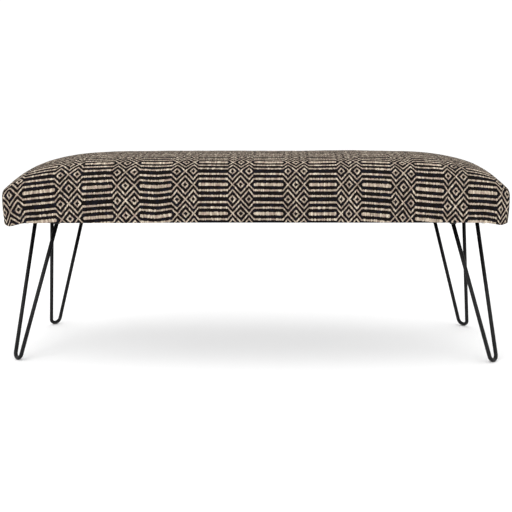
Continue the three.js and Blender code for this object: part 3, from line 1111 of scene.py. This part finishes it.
@dataclass
class FabricCover:
    """The handwoven cloth, pulled over the pad, pleated at the corners and turned under the board.

    The folds are (inset, rise, share of the droop) of each ring where the cloth turns under. The lumps
    are (features in a metre, millimetres, where the noise starts).

    Args:
        shape: The cushion's outer form.
        cloth: Its finish.
    """

    shape: CushionShape
    cloth: Material
    cell: float = 5 * MM
    thickness: float = 1.6 * MM
    pleat_lift: float = 1.7 * MM
    pleat_sink: float = 1.3 * MM
    pleat_width: float = 9 * MM
    pleat_grows_over: float = 60 * MM
    turn_over: float = 35 * MM
    corner_droop: tuple[float, float] = (9.0 * MM, 7.0 * MM)
    droop_from: float = 60 * MM
    droop_height: float = 70 * MM
    side_sag: float = 1.8 * MM
    hem_rise: float = 3.2 * MM
    end_fullness: tuple[float, float] = (5.5 * MM, 8.8 * MM)
    upper_fullness: tuple[float, float] = (0.0, 4.4 * MM)
    fullness_from: float = 160 * MM
    belly_span: tuple[float, float] = (16 * MM, -3 * MM)
    tuck_from: float = 10 * MM
    tuck: float = 0.22
    staple_pitch: float = 42 * MM
    scallop: float = 0.7 * MM
    settled: float = 0.5
    lumps: tuple[tuple[float, float, Triple], ...] = (
        (11.0, 1.1, (0.0, 0.0, 0.0)), (34.0, 0.35, (3.7, 1.1, 8.2)), (110.0, 0.32, (0.0, 0.0, 0.0)),
    )
    folds: tuple[Triple, ...] = (
        (4.3 * MM, 1.6 * MM, 1.0), (5.9 * MM, 0.45 * MM, 0.9), (8.5 * MM, 0.0, 0.45),
        (12 * MM, 0.0, 0.0), (16 * MM, 0.0, 0.0), (20 * MM, 0.0, 0.0),
    )

    def build(self) -> Piece:
        """Makes the cover.

        Returns:
            The cover, in place of the frame's plain one.
        """
        under = self.shape.underside
        self.grid = CushionGrid(
            self.shape, 0.0, self.cell, under + self.hem_rise,
            [(inset, under + rise) for inset, rise, _ in self.folds], pleats=True,
        )
        bm = self.grid.build()
        self.map_weave(bm)
        self.fill_ends()
        self.pleat_corners()
        self.droop_corners()
        self.roughen(bm)
        bmesh.ops.recalc_face_normals(bm, faces=bm.faces)
        bm.verts.index_update()
        held = self.stapled()
        cover = piece_of(bm, "fabric_cover_cloth")
        Plumping().run(cover, held, self.shape)
        thickened(cover, self.thickness)
        finish_piece(cover, self.cloth, Slot.WOVEN_CLOTH, "fabric_cover")
        return cover

    def stapled(self) -> list[float]:
        """How firmly each corner of the mesh is held: fully from where the cloth turns under the board."""
        rings = self.grid.rings
        held = [0.0] * (len(self.grid.cap) + sum(len(ring) for ring in rings[1:]))
        for ring in rings[-3:]:
            for vert in ring:
                held[vert.index] = 1.0
        return held

    def drops(self) -> list[list[float]]:
        """How far down the cloth each ring's corners lie from the cap's edge."""
        found = [[0.0] * len(self.grid.ring_keys)]
        for upper, lower in zip(self.grid.rings, self.grid.rings[1:]):
            found.append([before + (a.co - b.co).length for before, a, b in zip(found[-1], upper, lower)])
        return found

    def wraps_round(self) -> list[bool]:
        """For each corner of the edge, whether the front or back cloth covers it, and not the end's."""
        pleat = 1 - self.shape.corner / self.shape.half_depth
        return [
            j in (0, len(self.grid.shares) - 1) or abs(self.grid.shares[j]) >= pleat - 1e-6
            for _, j in self.grid.ring_keys
        ]

    def round_arcs(self) -> list[float]:
        """For each corner of the edge that the front or back cloth covers, its place along that cloth."""
        grid = self.grid
        last_i, last_j = len(grid.lengths) - 1, len(grid.shares) - 1
        arcs = []
        for i, j in grid.ring_keys:
            if j in (0, last_j):
                arcs.append(grid.weave[i, j][0])
                continue
            edge = 0 if grid.shares[j] < 0 else last_j
            column = range(edge, j, 1 if edge == 0 else -1)
            step = 1 if edge == 0 else -1
            past = sum((grid.cap[i, k].co.xy - grid.cap[i, k + step].co.xy).length for k in column)
            side = 1 if i == last_i else -1
            arcs.append(grid.weave[i, edge][0] + side * past)
        return arcs

    def map_weave(self, bm: BMesh) -> None:
        """Gives each face corner its place on the cloth, in metres along the weft and the warp."""
        grid = self.grid
        layer = bm.loops.layers.uv.new("weave")
        keys = {vert: key for key, vert in grid.cap.items()}
        drops, wraps, arcs = self.drops(), self.wraps_round(), self.round_arcs()
        place_of = {
            vert: (ring, k) for ring, verts in enumerate(grid.rings) if ring for k, vert in enumerate(verts)
        }
        ring_index = {vert: k for k, vert in enumerate(grid.rings[0])}
        last_i, last_j = len(grid.lengths) - 1, len(grid.shares) - 1

        def on_wall(ring: int, k: int, wrapped: bool) -> tuple[float, float]:
            """The weave place of a wall's corner on one of the two cloths."""
            i, j = grid.ring_keys[k]
            drop = drops[ring][k]
            top_along, top_up = grid.weave[i, j]
            side = 1 if i > last_i / 2 else -1
            face = -1 if grid.shares[j] < 0 else 1
            lean = grid.hang.lean(grid.lengths[i]) * drop if face < 0 else 0.0
            if not wrapped:
                return top_along + side * drop, top_up
            edge = 0 if face < 0 else last_j
            lowered = grid.weave[i, edge][1] + face * drop * grid.row_scale[i]
            share = 1.0 if j in (0, last_j) else smoothstep(drop, 0.0, self.turn_over)
            return (
                top_along + (arcs[k] - top_along) * share - lean,
                top_up + face * drop + (lowered - top_up - face * drop) * share,
            )

        for face in bm.faces:
            lower = [place_of[v] for v in face.verts if v in place_of]
            if not lower:
                for loop in face.loops:
                    along, up = grid.weave[keys[loop.vert]]
                    loop[layer].uv = (grid.hang.along(along), up)
                continue
            columns = {k for _, k in lower}
            wrapped = all(wraps[k] for k in columns)
            for loop in face.loops:
                ring, k = place_of.get(loop.vert, (0, ring_index.get(loop.vert, 0)))
                along, up = on_wall(ring, k, wrapped)
                loop[layer].uv = (grid.hang.along(along), up)

    def fill_ends(self) -> None:
        """Lets the end walls stand fuller, the right one more than the left."""
        shape = self.shape
        for vert in [*self.grid.cap.values(), *(vert for ring in self.grid.rings[1:] for vert in ring)]:
            x, level = vert.co.x, vert.co.z
            end = 1 if x > 0 else 0
            near = smoothstep(abs(x), shape.half_length - self.fullness_from, shape.half_length - 6 * MM)
            belly_top, belly_full = shape.shoulder + self.belly_span[0], shape.bulge + self.belly_span[1]
            belly = smoothstep(level, belly_top, belly_full)
            belly *= 1 - self.tuck * smoothstep(level, shape.bulge - self.tuck_from, shape.underside)
            full = self.upper_fullness[end] + (self.end_fullness[end] - self.upper_fullness[end]) * belly
            vert.co.x += math.copysign(full * near, x)

    def pleat_corners(self) -> None:
        """Lifts the front and back cloth where it folds over the end's, and sinks the end's beside it."""
        grid, drops = self.grid, self.drops()
        pleat_y = self.shape.half_depth - self.shape.corner
        last_i = len(grid.lengths) - 1
        for ring, verts in enumerate(grid.rings):
            if ring == 0 or ring > len(grid.rings) - 4:
                continue
            for k, vert in enumerate(verts):
                i, j = grid.ring_keys[k]
                if i not in (0, last_i):
                    continue
                past = abs(grid.cap[i, j].co.y) - pleat_y
                grown = smoothstep(drops[ring][k], 0.0, self.pleat_grows_over)
                if past > -1e-6:
                    shift = self.pleat_lift * math.exp(-past / self.pleat_width)
                else:
                    shift = -self.pleat_sink * math.exp(past / self.pleat_width)
                vert.co.x += math.copysign(shift * grown, vert.co.x)

    def droop_corners(self) -> None:
        """Lets the gathered cloth hang at the lower corners, and scallops the edge between staples."""
        grid, shape, drops = self.grid, self.shape, self.drops()
        first_fold = len(grid.rings) - len(self.folds)
        for ring, verts in enumerate(grid.rings):
            for k, vert in enumerate(verts):
                x, y = grid.rings[0][k].co.xy
                x_end, droop_end = shape.half_length + 4 * MM, 8 * MM
                near_end = smoothstep(
                    abs(x), shape.half_length - self.droop_from, shape.half_length - droop_end
                )
                near_side = smoothstep(
                    abs(y), shape.half_depth - self.droop_from, shape.half_depth - droop_end
                )
                eased = 1 - 0.5 * smoothstep(abs(x), shape.half_length - 16 * MM, x_end)
                corner = near_end * near_side * eased
                if ring >= first_fold:
                    share = self.folds[ring - first_fold][2]
                else:
                    hem = drops[first_fold - 1][k]
                    share = smoothstep(drops[ring][k], hem - self.droop_height, hem)
                vert.co.z -= self.corner_droop[1 if x > 0 else 0] * corner * share
                vert.co.z -= self.side_sag * smoothstep(-x, 100 * MM, 350 * MM) * share
                if first_fold - 3 <= ring < first_fold + 3:
                    run = x if abs(abs(y) - shape.half_depth) < 1 * MM else y
                    wave = 0.5 - 0.5 * math.cos(2 * math.pi * run / self.staple_pitch)
                    vert.co -= grid.outward(x, y) * self.scallop * (1 - wave)
                    vert.co.z += 0.35 * self.scallop * (1 - wave) * share

    def roughen(self, bm: BMesh) -> None:
        """Adds the slight unevenness of hand upholstery."""
        bm.normal_update()
        moves = []
        for vert in bm.verts:
            if vert.co.z < self.shape.underside + 2 * MM:
                moves.append(0.0)
                continue
            lumps = sum(
                height * noise.noise(vert.co * scale + Vector(start)) for scale, height, start in self.lumps
            )
            moves.append((lumps - self.settled) * MM)
        for vert, move in zip(bm.verts, moves):
            vert.co += vert.normal * move


@dataclass
class PadLayer:
    """A soft layer under the cloth.

    Args:
        shape: The cushion's outer form.
        name: The piece's name.
        node: The frame's node it stands for.
        finish: Its material.
        slot: The kind of its finish.
        depth: How far inside the cloth's face it starts.
        bottom: Level of its lower edge.
        wall: Thickness of a hollow layer, or 0 for a solid block.
        fill: Not used.
    """

    shape: CushionShape
    name: str
    node: str
    finish: Material
    slot: Slot
    depth: float
    bottom: float
    wall: float = 0.0
    fill: float = 0.8
    cell: float = 9 * MM

    def build(self) -> Piece:
        """Makes the layer.

        Returns:
            The layer, in place of the frame's plain one.
        """
        bm = CushionGrid(self.shape, self.depth, self.cell, self.bottom).build()
        bm.normal_update()
        for vert in bm.verts:
            if vert.co.z > self.bottom + 5 * MM:
                vert.co -= vert.normal * (0.35 + 0.3 * noise.noise(vert.co * 25.0)) * MM
        if not self.wall:
            rim = [edge for edge in bm.edges if edge.is_boundary]
            bmesh.ops.holes_fill(bm, edges=rim, sides=0)
        bmesh.ops.recalc_face_normals(bm, faces=bm.faces)
        layer = piece_of(bm, self.name)
        if self.wall:
            thickened(layer, self.wall)
        finish_piece(layer, self.finish, self.slot, self.node)
        return layer


@dataclass
class DustCover:
    """The thin black cloth stapled over the underside.

    Args:
        low: The frame's lowest corner of it.
        high: The frame's highest corner of it.
        openings: (x, y) of the bolts that pass through it.
        cloth: Its finish.
        wire: The staples' finish.
    """

    low: Vector
    high: Vector
    openings: Sequence[tuple[float, float]]
    cloth: Material
    wire: Material
    corner: float = 14 * MM
    rim: float = 13.5 * MM
    thickness: float = 0.6 * MM
    cell: float = 8 * MM
    hole: float = 3.6 * MM
    staple_pitch: float = 46 * MM
    staple_inset: float = 6 * MM
    staple_margin: float = 25 * MM
    staple_skew: float = 0.16
    staple_sunk: float = 0.35
    held_to: float = 60 * MM
    free_round_bolts: tuple[float, float] = (70 * MM, 130 * MM)
    staple_size: Triple = (10.2 * MM, 1.15 * MM, 0.55 * MM)

    def level(self, inset: float) -> float:
        """Level of the cloth's middle at a distance from its edge."""
        low = self.low.z + self.thickness / 2
        high = self.high.z - self.thickness / 2
        return low + (high - low) * smoothstep(inset, self.rim - 1 * MM, self.rim + 3 * MM)

    def build(self) -> Piece:
        """Makes the cloth.

        Returns:
            The cloth, in place of the frame's plain one.
        """
        half_x, half_y = self.high.x, self.high.y
        bm = bmesh.new()
        bmesh.ops.create_grid(
            bm, x_segments=round(2 * half_x / self.cell), y_segments=round(2 * half_y / self.cell), size=1.0
        )
        for vert in bm.verts:
            x, y = rounded(vert.co.x * half_x, vert.co.y * half_y, half_x, half_y, self.corner)
            inset = min(half_x - abs(x), half_y - abs(y))
            slack = smoothstep(inset, self.rim + 3 * MM, self.held_to)
            pucker = (1 - slack) * 0.12 * MM * math.cos(2 * math.pi * (x + y) / self.staple_pitch)
            near = min(math.hypot(x - at_x, y - at_y) for at_x, at_y in self.openings)
            free = slack * smoothstep(near, *self.free_round_bolts)
            sag = free * (1.0 + 0.5 * noise.noise(Vector((x * 9, y * 14, 0.0)))) * MM
            wrinkle = 0.5 * free * noise.noise(Vector((x * 30, y * 55, 4.0))) * MM
            vert.co = (x, y, self.level(inset) - sag + wrinkle + (pucker if inset > 1 * MM else 0.0))
        self.open_holes(bm)
        bmesh.ops.recalc_face_normals(bm, faces=bm.faces)
        sheet = piece_of(bm, "dust_cover_cloth")
        thickened(sheet, self.thickness, offset=0.0)
        finish_piece(sheet, self.cloth, Slot.DUST_CLOTH, "dust_cover")
        return sheet

    def open_holes(self, bm: BMesh) -> None:
        """Opens a round hole at each bolt."""
        for x, y in self.openings:
            centre = Vector((x, y))
            inside = [vert for vert in bm.verts if (vert.co.xy - centre).length < self.cell * 0.75]
            rim = {corner for vert in inside for face in vert.link_faces for corner in face.verts}
            rim -= set(inside)
            bmesh.ops.delete(bm, geom=inside, context="VERTS")
            for vert in rim:
                if vert.is_valid:
                    spoke = (vert.co.xy - centre).normalized() * self.hole
                    vert.co.xy = centre + spoke

    def staples(self) -> Piece:
        """Makes the staples round the edge.

        Returns:
            The staples as one piece.
        """
        half_x, half_y = self.high.x - self.staple_inset, self.high.y - self.staple_inset
        level = self.low.z - self.staple_size[2] * self.staple_sunk
        bm = bmesh.new()
        for along, across, turned in ((half_x, half_y, False), (half_y, half_x, True)):
            reach = along - self.staple_margin
            count = round(2 * reach / self.staple_pitch)
            for step in range(count + 1):
                run = reach * (2 * step / count - 1)
                for side in (-1, 1):
                    skew = self.staple_skew * math.sin(7.3 * step + 2.1 * side)
                    place = (side * across, run, level) if turned else (run, side * across, level)
                    turn = Matrix.Rotation((math.pi / 2 if turned else 0.0) + skew, 4, "Z")
                    matrix = Matrix.Translation(place) @ turn @ Matrix.Diagonal((*self.staple_size, 1.0))
                    bmesh.ops.create_cube(bm, size=1.0, matrix=matrix)
        bmesh.ops.bevel(
            bm, geom=list(bm.edges), offset=0.2 * MM, segments=1, profile=0.5, affect="EDGES", material=-1,
            offset_type="OFFSET", clamp_overlap=True,
        )
        piece = piece_of(bm, "dust_cover_staples", Shading.FLAT)
        return finish_piece(piece, self.wire, Slot.ZINC_STEEL)


# ---------------------------------------------------------------------------------------------
# The legs
# ---------------------------------------------------------------------------------------------


@dataclass
class HairpinLeg:
    """A bent rod welded to a plate, and the bolts that hold it. Sizes in metres.

    The weld's section is (out from the rod, down from the plate), and the bolt head's is (radius, down
    from the plate).

    Args:
        name: Which corner it stands at.
        side: The signs of X and Y there.
        coat: The rod's and plate's finish.
        zinc: The fasteners' finish.
        board_top: Level of the seat board's upper face.
    """

    name: str
    side: tuple[int, int]
    coat: Material
    zinc: Material
    board_top: float
    rod_radius: float = 5 * MM
    rod_sides: int = 28
    bend_radius: float = 14.5 * MM
    bend_steps: int = 28
    splay: float = 98 * MM
    rod_edge: float = 15.5 * MM
    bolt_edge: float = 14.3 * MM
    inner_bolt: float = 20 * MM
    gap: float = 0.3 * MM
    weld_height: float = 5 * MM
    weld_steps: int = 96
    weld_ripples: int = 16
    weld_ripple: float = 0.55 * MM
    weld_section: tuple[tuple[float, float], ...] = (
        (0.0, 0.0), (6 * MM, 0.0), (5.2 * MM, 0.9 * MM), (3.9 * MM, 2.3 * MM), (2.9 * MM, 3.8 * MM),
        (1.6 * MM, 5 * MM), (0.0, 5 * MM),
    )
    bolt_radius: float = 3 * MM
    bolt_sides: int = 28
    head_section: tuple[tuple[float, float], ...] = (
        (0.0, 3.5 * MM), (4.3 * MM, 3.5 * MM), (5.2 * MM, 3.05 * MM), (5.8 * MM, 2.2 * MM),
        (6 * MM, 1.2 * MM), (6 * MM, 0.0),
    )
    recess: Triple = (6.4 * MM, 1.2 * MM, 3.4 * MM)
    thread_start: float = 1 * MM
    thread_pitch: float = 1 * MM
    thread_depth: float = 0.4 * MM
    barrel_wall: float = 0.7 * MM
    barrel_length: float = 12 * MM
    barrel_root: float = 0.5 * MM
    flange_radius: float = 9.5 * MM
    flange_thickness: float = 1.4 * MM
    flange_edge: float = 0.3 * MM
    nut_lead: float = 0.4 * MM
    nut_sides: int = 32

    def __post_init__(self) -> None:
        """Reads the plate's place from the frame."""
        low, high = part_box(f"mounting_plate_{self.name}")
        self.plate_low = low.z
        self.plate_half = (high.x - low.x) / 2
        turn = math.atan2(self.side[1], self.side[0])
        centre = (low + high) / 2
        self.matrix = Matrix.Translation((centre.x, centre.y, 0.0)) @ Matrix.Rotation(turn, 4, "Z")
        foot = Vector((self.splay, 0.0, self.rod_radius))
        head = Vector((0.0, 0.0, self.plate_low))
        up = (head - foot).normalized()
        across = Vector((0.0, 1.0, 0.0))
        reach = (head - foot).length - self.bend_radius
        half_spread = math.sqrt(2) * (self.plate_half - self.rod_edge)
        tangent = math.asin(self.bend_radius / math.hypot(reach, half_spread))
        self.open = math.atan2(half_spread, reach) - tangent
        past = 2 * self.rod_radius
        end_x = half_spread + past * math.sin(self.open)
        end_y = self.bend_radius + reach + past * math.cos(self.open)
        self.end = Vector((end_x, end_y, 0.0))
        angle = math.pi / 2 + self.open
        self.bend_start = self.bend_radius * Vector((math.sin(angle), 1 + math.cos(angle), 0.0))
        rows = (across, up, across.cross(up))
        self.plane = Matrix.Translation(foot) @ Matrix(rows).transposed().to_4x4()

    def bolt_places(self) -> list[tuple[float, float]]:
        """Bolt centres in the leg's own frame."""
        outer = math.sqrt(2) * (self.plate_half - self.bolt_edge)
        return [(outer, 0.0), (-outer, 0.0), (0.0, self.inner_bolt), (0.0, -self.inner_bolt)]

    def bolt_centres(self) -> list[tuple[float, float]]:
        """Bolt centres in the bench's frame."""
        return [tuple((self.matrix @ Vector((x, y, 0.0))).xy) for x, y in self.bolt_places()]

    def rod(self) -> Piece:
        """Bends the rod: a round section swept round the foot and drawn up both straights."""
        bm = bmesh.new()
        straight = self.end - self.bend_start
        facing = straight.to_track_quat("Z", "Y").to_matrix().to_4x4()
        bmesh.ops.create_circle(
            bm, cap_ends=False, segments=self.rod_sides, radius=self.rod_radius,
            matrix=Matrix.Translation(self.bend_start) @ facing,
        )
        first = list(bm.edges)
        first_verts = list(bm.verts)
        swept = bmesh.ops.spin(
            bm, geom=first_verts + first, cent=(0.0, self.bend_radius, 0.0), axis=(0, 0, -1), dvec=(0, 0, 0),
            angle=math.pi - 2 * self.open, steps=self.bend_steps, use_merge=False,
        )["geom_last"]
        last = [item for item in swept if isinstance(item, bmesh.types.BMEdge)]
        for ring, sign in ((first, 1), (last, -1)):
            grown = bmesh.ops.extrude_edge_only(bm, edges=ring)["geom"]
            verts = [item for item in grown if isinstance(item, bmesh.types.BMVert)]
            bmesh.ops.translate(bm, verts=verts, vec=(sign * straight.x, straight.y, 0.0))
        bmesh.ops.transform(bm, matrix=self.matrix @ self.plane, verts=bm.verts)
        cut = bmesh.ops.bisect_plane(
            bm, geom=list(bm.verts) + list(bm.edges) + list(bm.faces),
            plane_co=(0, 0, self.plate_low - self.gap), plane_no=(0, 0, 1), clear_outer=True,
        )["geom_cut"]
        open_ends = [item for item in cut if isinstance(item, bmesh.types.BMEdge)]
        bmesh.ops.holes_fill(bm, edges=open_ends, sides=0)
        bmesh.ops.recalc_face_normals(bm, faces=bm.faces)
        piece = piece_of(bm, f"rod_{self.name}")
        return finish_piece(piece, self.coat, Slot.BLACK_STEEL, f"hairpin_rod_{self.name}")

    def weld(self, sign: int) -> Piece:
        """Lays a rippled fillet weld round one end of the rod."""
        high = self.plate_low - self.gap
        inner = self.rod_radius + self.gap
        profile = [(inner + out, high - down) for out, down in self.weld_section]
        bm = spun(profile, self.weld_steps, ring=True)
        ends = [self.plane @ Vector((sign * point.x, point.y, 0.0)) for point in (self.end, self.bend_start)]
        slope = (ends[0] - ends[1]) / (ends[0].z - ends[1].z)
        for vert in bm.verts:
            reach = vert.co.xy.length - inner
            angle = math.atan2(vert.co.y, vert.co.x)
            phase = self.weld_ripples * angle / 2 + 3 * vert.co.z / self.weld_height
            ripple = self.weld_ripple * abs(math.sin(phase))
            if reach > 0.5 * MM and vert.co.z < high - 0.1 * MM:
                vert.co.xy *= 1 - ripple / vert.co.xy.length
            vert.co.xy += ends[0].xy + slope.xy * (vert.co.z - ends[0].z)
        bmesh.ops.transform(bm, matrix=self.matrix, verts=bm.verts)
        label = "a" if sign > 0 else "b"
        piece = piece_of(bm, f"weld_{self.name}_{label}")
        return finish_piece(piece, self.coat, Slot.BLACK_STEEL, f"weld_bead_{self.name}_{label}")

    def plate(self) -> None:
        """Dresses the frame's own plate and eases its edges."""
        dressed(f"mounting_plate_{self.name}", self.coat, width=0.6 * MM, segments=3)

    def fasteners(self, bolt: bpy.types.Mesh, nut: bpy.types.Mesh) -> None:
        """Sets a bolt and a tee nut at each place.

        Args:
            bolt: The bolt's shape over the origin.
            nut: The tee nut's shape over the origin.
        """
        for index, (x, y) in enumerate(self.bolt_places(), start=1):
            for mesh, label, node in ((bolt, "bolt", "leg_bolt"), (nut, "nut", "tee_nut")):
                copy = mesh.copy()
                turn = Matrix.Rotation(0.9 * index + 0.4 * self.side[0], 4, "Z")
                copy.transform(self.matrix @ Matrix.Translation((x, y, 0.0)) @ turn)
                piece = bpy.data.objects.new(f"{label}_{self.name}_{index}", copy)
                bpy.context.scene.collection.objects.link(piece)
                finish_piece(piece, self.zinc, Slot.ZINC_STEEL, f"{node}_{self.name}_{index}")

    def bolt_shape(self) -> bpy.types.Mesh:
        """Turns a pan head machine screw with a cross recess, head down."""
        seat = self.plate_low - self.gap
        radius, root = self.bolt_radius, self.bolt_radius - self.thread_depth
        profile = [(out, seat - down) for out, down in self.head_section]
        profile.append((radius, seat))
        level, top = seat + self.thread_start, self.board_top - self.gap
        while level < top - self.thread_pitch:
            profile += [(radius, level), (root, level + self.thread_pitch / 2)]
            level += self.thread_pitch
        profile += [(radius, level), (root, top), (0.0, top)]
        bolt = piece_of(spun(profile, self.bolt_sides), "bolt_blank", Shading.FLAT)
        cross = bmesh.new()
        for angle in (0.0, math.pi / 2):
            turn = Matrix.Rotation(angle, 4, "Z")
            face = Matrix.Translation((0, 0, seat - self.head_section[0][1]))
            bmesh.ops.create_cube(cross, size=1.0, matrix=face @ turn @ Matrix.Diagonal((*self.recess, 1)))
        cutter = piece_of(cross, "cross_cutter", Shading.FLAT)
        recess = bolt.modifiers.new("cross_recess", "BOOLEAN")
        recess.operation = "DIFFERENCE"
        recess.use_self = True
        recess.object = cutter
        applied(bolt)
        mesh = bolt.data
        bpy.data.objects.remove(bolt)
        bpy.data.objects.remove(cutter)
        return mesh

    def nut_shape(self) -> bpy.types.Mesh:
        """Turns a tee nut: a flange over a short threaded barrel."""
        bore, top, edge = self.bolt_radius + self.gap, self.board_top, self.flange_edge
        barrel, flange, under = bore + self.barrel_wall, self.flange_radius, top - self.flange_thickness
        foot = under - self.barrel_length
        profile = [(bore, foot), (barrel, foot), (barrel, under - self.barrel_root)]
        profile += [(barrel + self.barrel_root, under), (flange - edge, under), (flange, under + edge)]
        profile += [(flange, top - edge), (flange - edge, top), (bore + self.nut_lead, top)]
        profile.append((bore, top - self.nut_lead))
        bm = spun(profile, self.nut_sides, ring=True)
        nut = piece_of(bm, "nut_blank", Shading.FLAT)
        mesh = nut.data
        bpy.data.objects.remove(nut)
        return mesh


# ---------------------------------------------------------------------------------------------
# The studio
# ---------------------------------------------------------------------------------------------


@dataclass(frozen=True)
class Softbox:
    """A square area light.

    Args:
        name: Its name.
        place: Where it stands.
        aim: What it points at.
        size: Its side, in metres.
        power: Its power, in watts.
    """

    name: str
    place: Triple
    aim: Triple
    size: float
    power: float

    def build(self) -> None:
        """Adds the light."""
        light = bpy.data.lights.new(self.name, "AREA")
        light.shape = "SQUARE"
        light.size = self.size
        light.energy = self.power
        lamp = bpy.data.objects.new(self.name, light)
        lamp.location = self.place
        lamp.rotation_euler = (Vector(self.aim) - Vector(self.place)).to_track_quat("-Z", "Y").to_euler()
        bpy.context.scene.collection.objects.link(lamp)


@dataclass(frozen=True)
class Studio:
    """A plain pale floor under soft light."""

    floor_half: float = 30.0
    sky: Triple = (1.0, 1.0, 1.0)
    sky_strength: float = 1.09
    lights: tuple[Softbox, ...] = (
        Softbox("key_softbox", (-1.7, -2.6, 2.6), (0.0, 0.0, 0.4), 2.2, 42.0),
        Softbox("fill_softbox", (2.4, -2.0, 1.6), (0.0, 0.0, 0.4), 2.0, 16.0),
        Softbox("top_softbox", (0.0, 0.6, 3.0), (0.0, 0.0, 0.5), 2.6, 18.0),
    )

    def build(self) -> None:
        """Lays the floor and lights the room."""
        bm = bmesh.new()
        bmesh.ops.create_grid(bm, x_segments=8, y_segments=8, size=self.floor_half)
        floor = piece_of(bm, "studio_floor", Shading.FLAT)
        floor.data.materials.append(PaleFloor().make())
        world = bpy.data.worlds.new("studio_light")
        world.use_nodes = True
        background = world.node_tree.nodes["Background"]
        background.inputs["Color"].default_value = (*self.sky, 1.0)
        background.inputs["Strength"].default_value = self.sky_strength
        bpy.context.scene.world = world
        for light in self.lights:
            light.build()
        bpy.context.scene.view_settings.view_transform = "Standard"


@dataclass(frozen=True)
class StudioCamera:
    """The camera in front of the bench, a little right of its middle and above it."""

    place: Triple = (0.071, -2.303, 0.620)
    yaw: float = math.radians(-1.74)
    pitch: float = math.radians(9.5)
    roll: float = math.radians(-0.21)
    lens: float = 61.6
    sensor: float = 36.0

    def build(self) -> None:
        """Adds the camera and makes it the scene's."""
        ahead, aside = math.cos(self.yaw), math.sin(self.yaw)
        level = math.cos(self.pitch)
        forward = Vector((aside * level, ahead * level, -math.sin(self.pitch)))
        level_right = Vector((ahead, -aside, 0.0))
        level_up = level_right.cross(forward)
        right = level_right * math.cos(self.roll) + level_up * math.sin(self.roll)
        up = level_up * math.cos(self.roll) - level_right * math.sin(self.roll)
        data = bpy.data.cameras.new("front_camera")
        data.lens = self.lens
        data.sensor_width = self.sensor
        camera = bpy.data.objects.new("front_camera", data)
        turn = Matrix((right, up, -forward)).transposed().to_4x4()
        camera.matrix_world = Matrix.Translation(self.place) @ turn
        bpy.context.scene.collection.objects.link(camera)
        bpy.context.scene.camera = camera


def main() -> None:
    """Builds the bench piece by piece."""
    logging.basicConfig(level=logging.INFO, format="%(message)s")
    StudioCamera().build()
    Studio().build()

    cover_low, cover_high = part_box("fabric_cover")
    board_low, board_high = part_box("seat_board")
    foam_low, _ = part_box("foam_core")
    shape = CushionShape(cover_high.x, cover_high.y, cover_low.z, cover_high.z)

    cover = FabricCover(shape, HandwovenCloth().make()).build()
    LOG.info("%s: %d faces", cover.name, len(cover.data.polygons))
    wadding = PadLayer(
        shape, "wadding_wrap", "wadding", FibreWadding().make(), Slot.WADDING,
        depth=2.3 * MM, bottom=board_low.z + 1.6 * MM, wall=7.4 * MM, fill=0.6,
    ).build()
    foam = PadLayer(
        shape, "foam_block", "foam_core", OpenCellFoam().make(), Slot.FOAM,
        depth=10.4 * MM, bottom=foam_low.z, fill=0.9,
    ).build()
    LOG.info("%s and %s", wadding.name, foam.name)
    dressed("seat_board", BirchPly(board_low.z, board_high.z).make(), width=0.4 * MM, segments=2)
    LOG.info("seat_board")

    coat, zinc = PowderCoat().make(), ZincPlate().make()
    legs = [HairpinLeg(name, side, coat, zinc, board_high.z) for name, side in LEGS.items()]
    bolt, nut = legs[0].bolt_shape(), legs[0].nut_shape()
    for leg in legs:
        leg.rod()
        leg.weld(1)
        leg.weld(-1)
        leg.plate()
        leg.fasteners(bolt, nut)
        LOG.info("leg %s", leg.name)

    low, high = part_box("dust_cover")
    openings = [place for leg in legs for place in leg.bolt_centres()]
    dust = DustCover(low, high, openings, SpunBonded().make(), zinc)
    dust_cloth = dust.build()
    staples = dust.staples()
    LOG.info("%s and %s", dust_cloth.name, staples.name)

    bpy.context.view_layer.update()


if __name__ == "__main__":
    main()
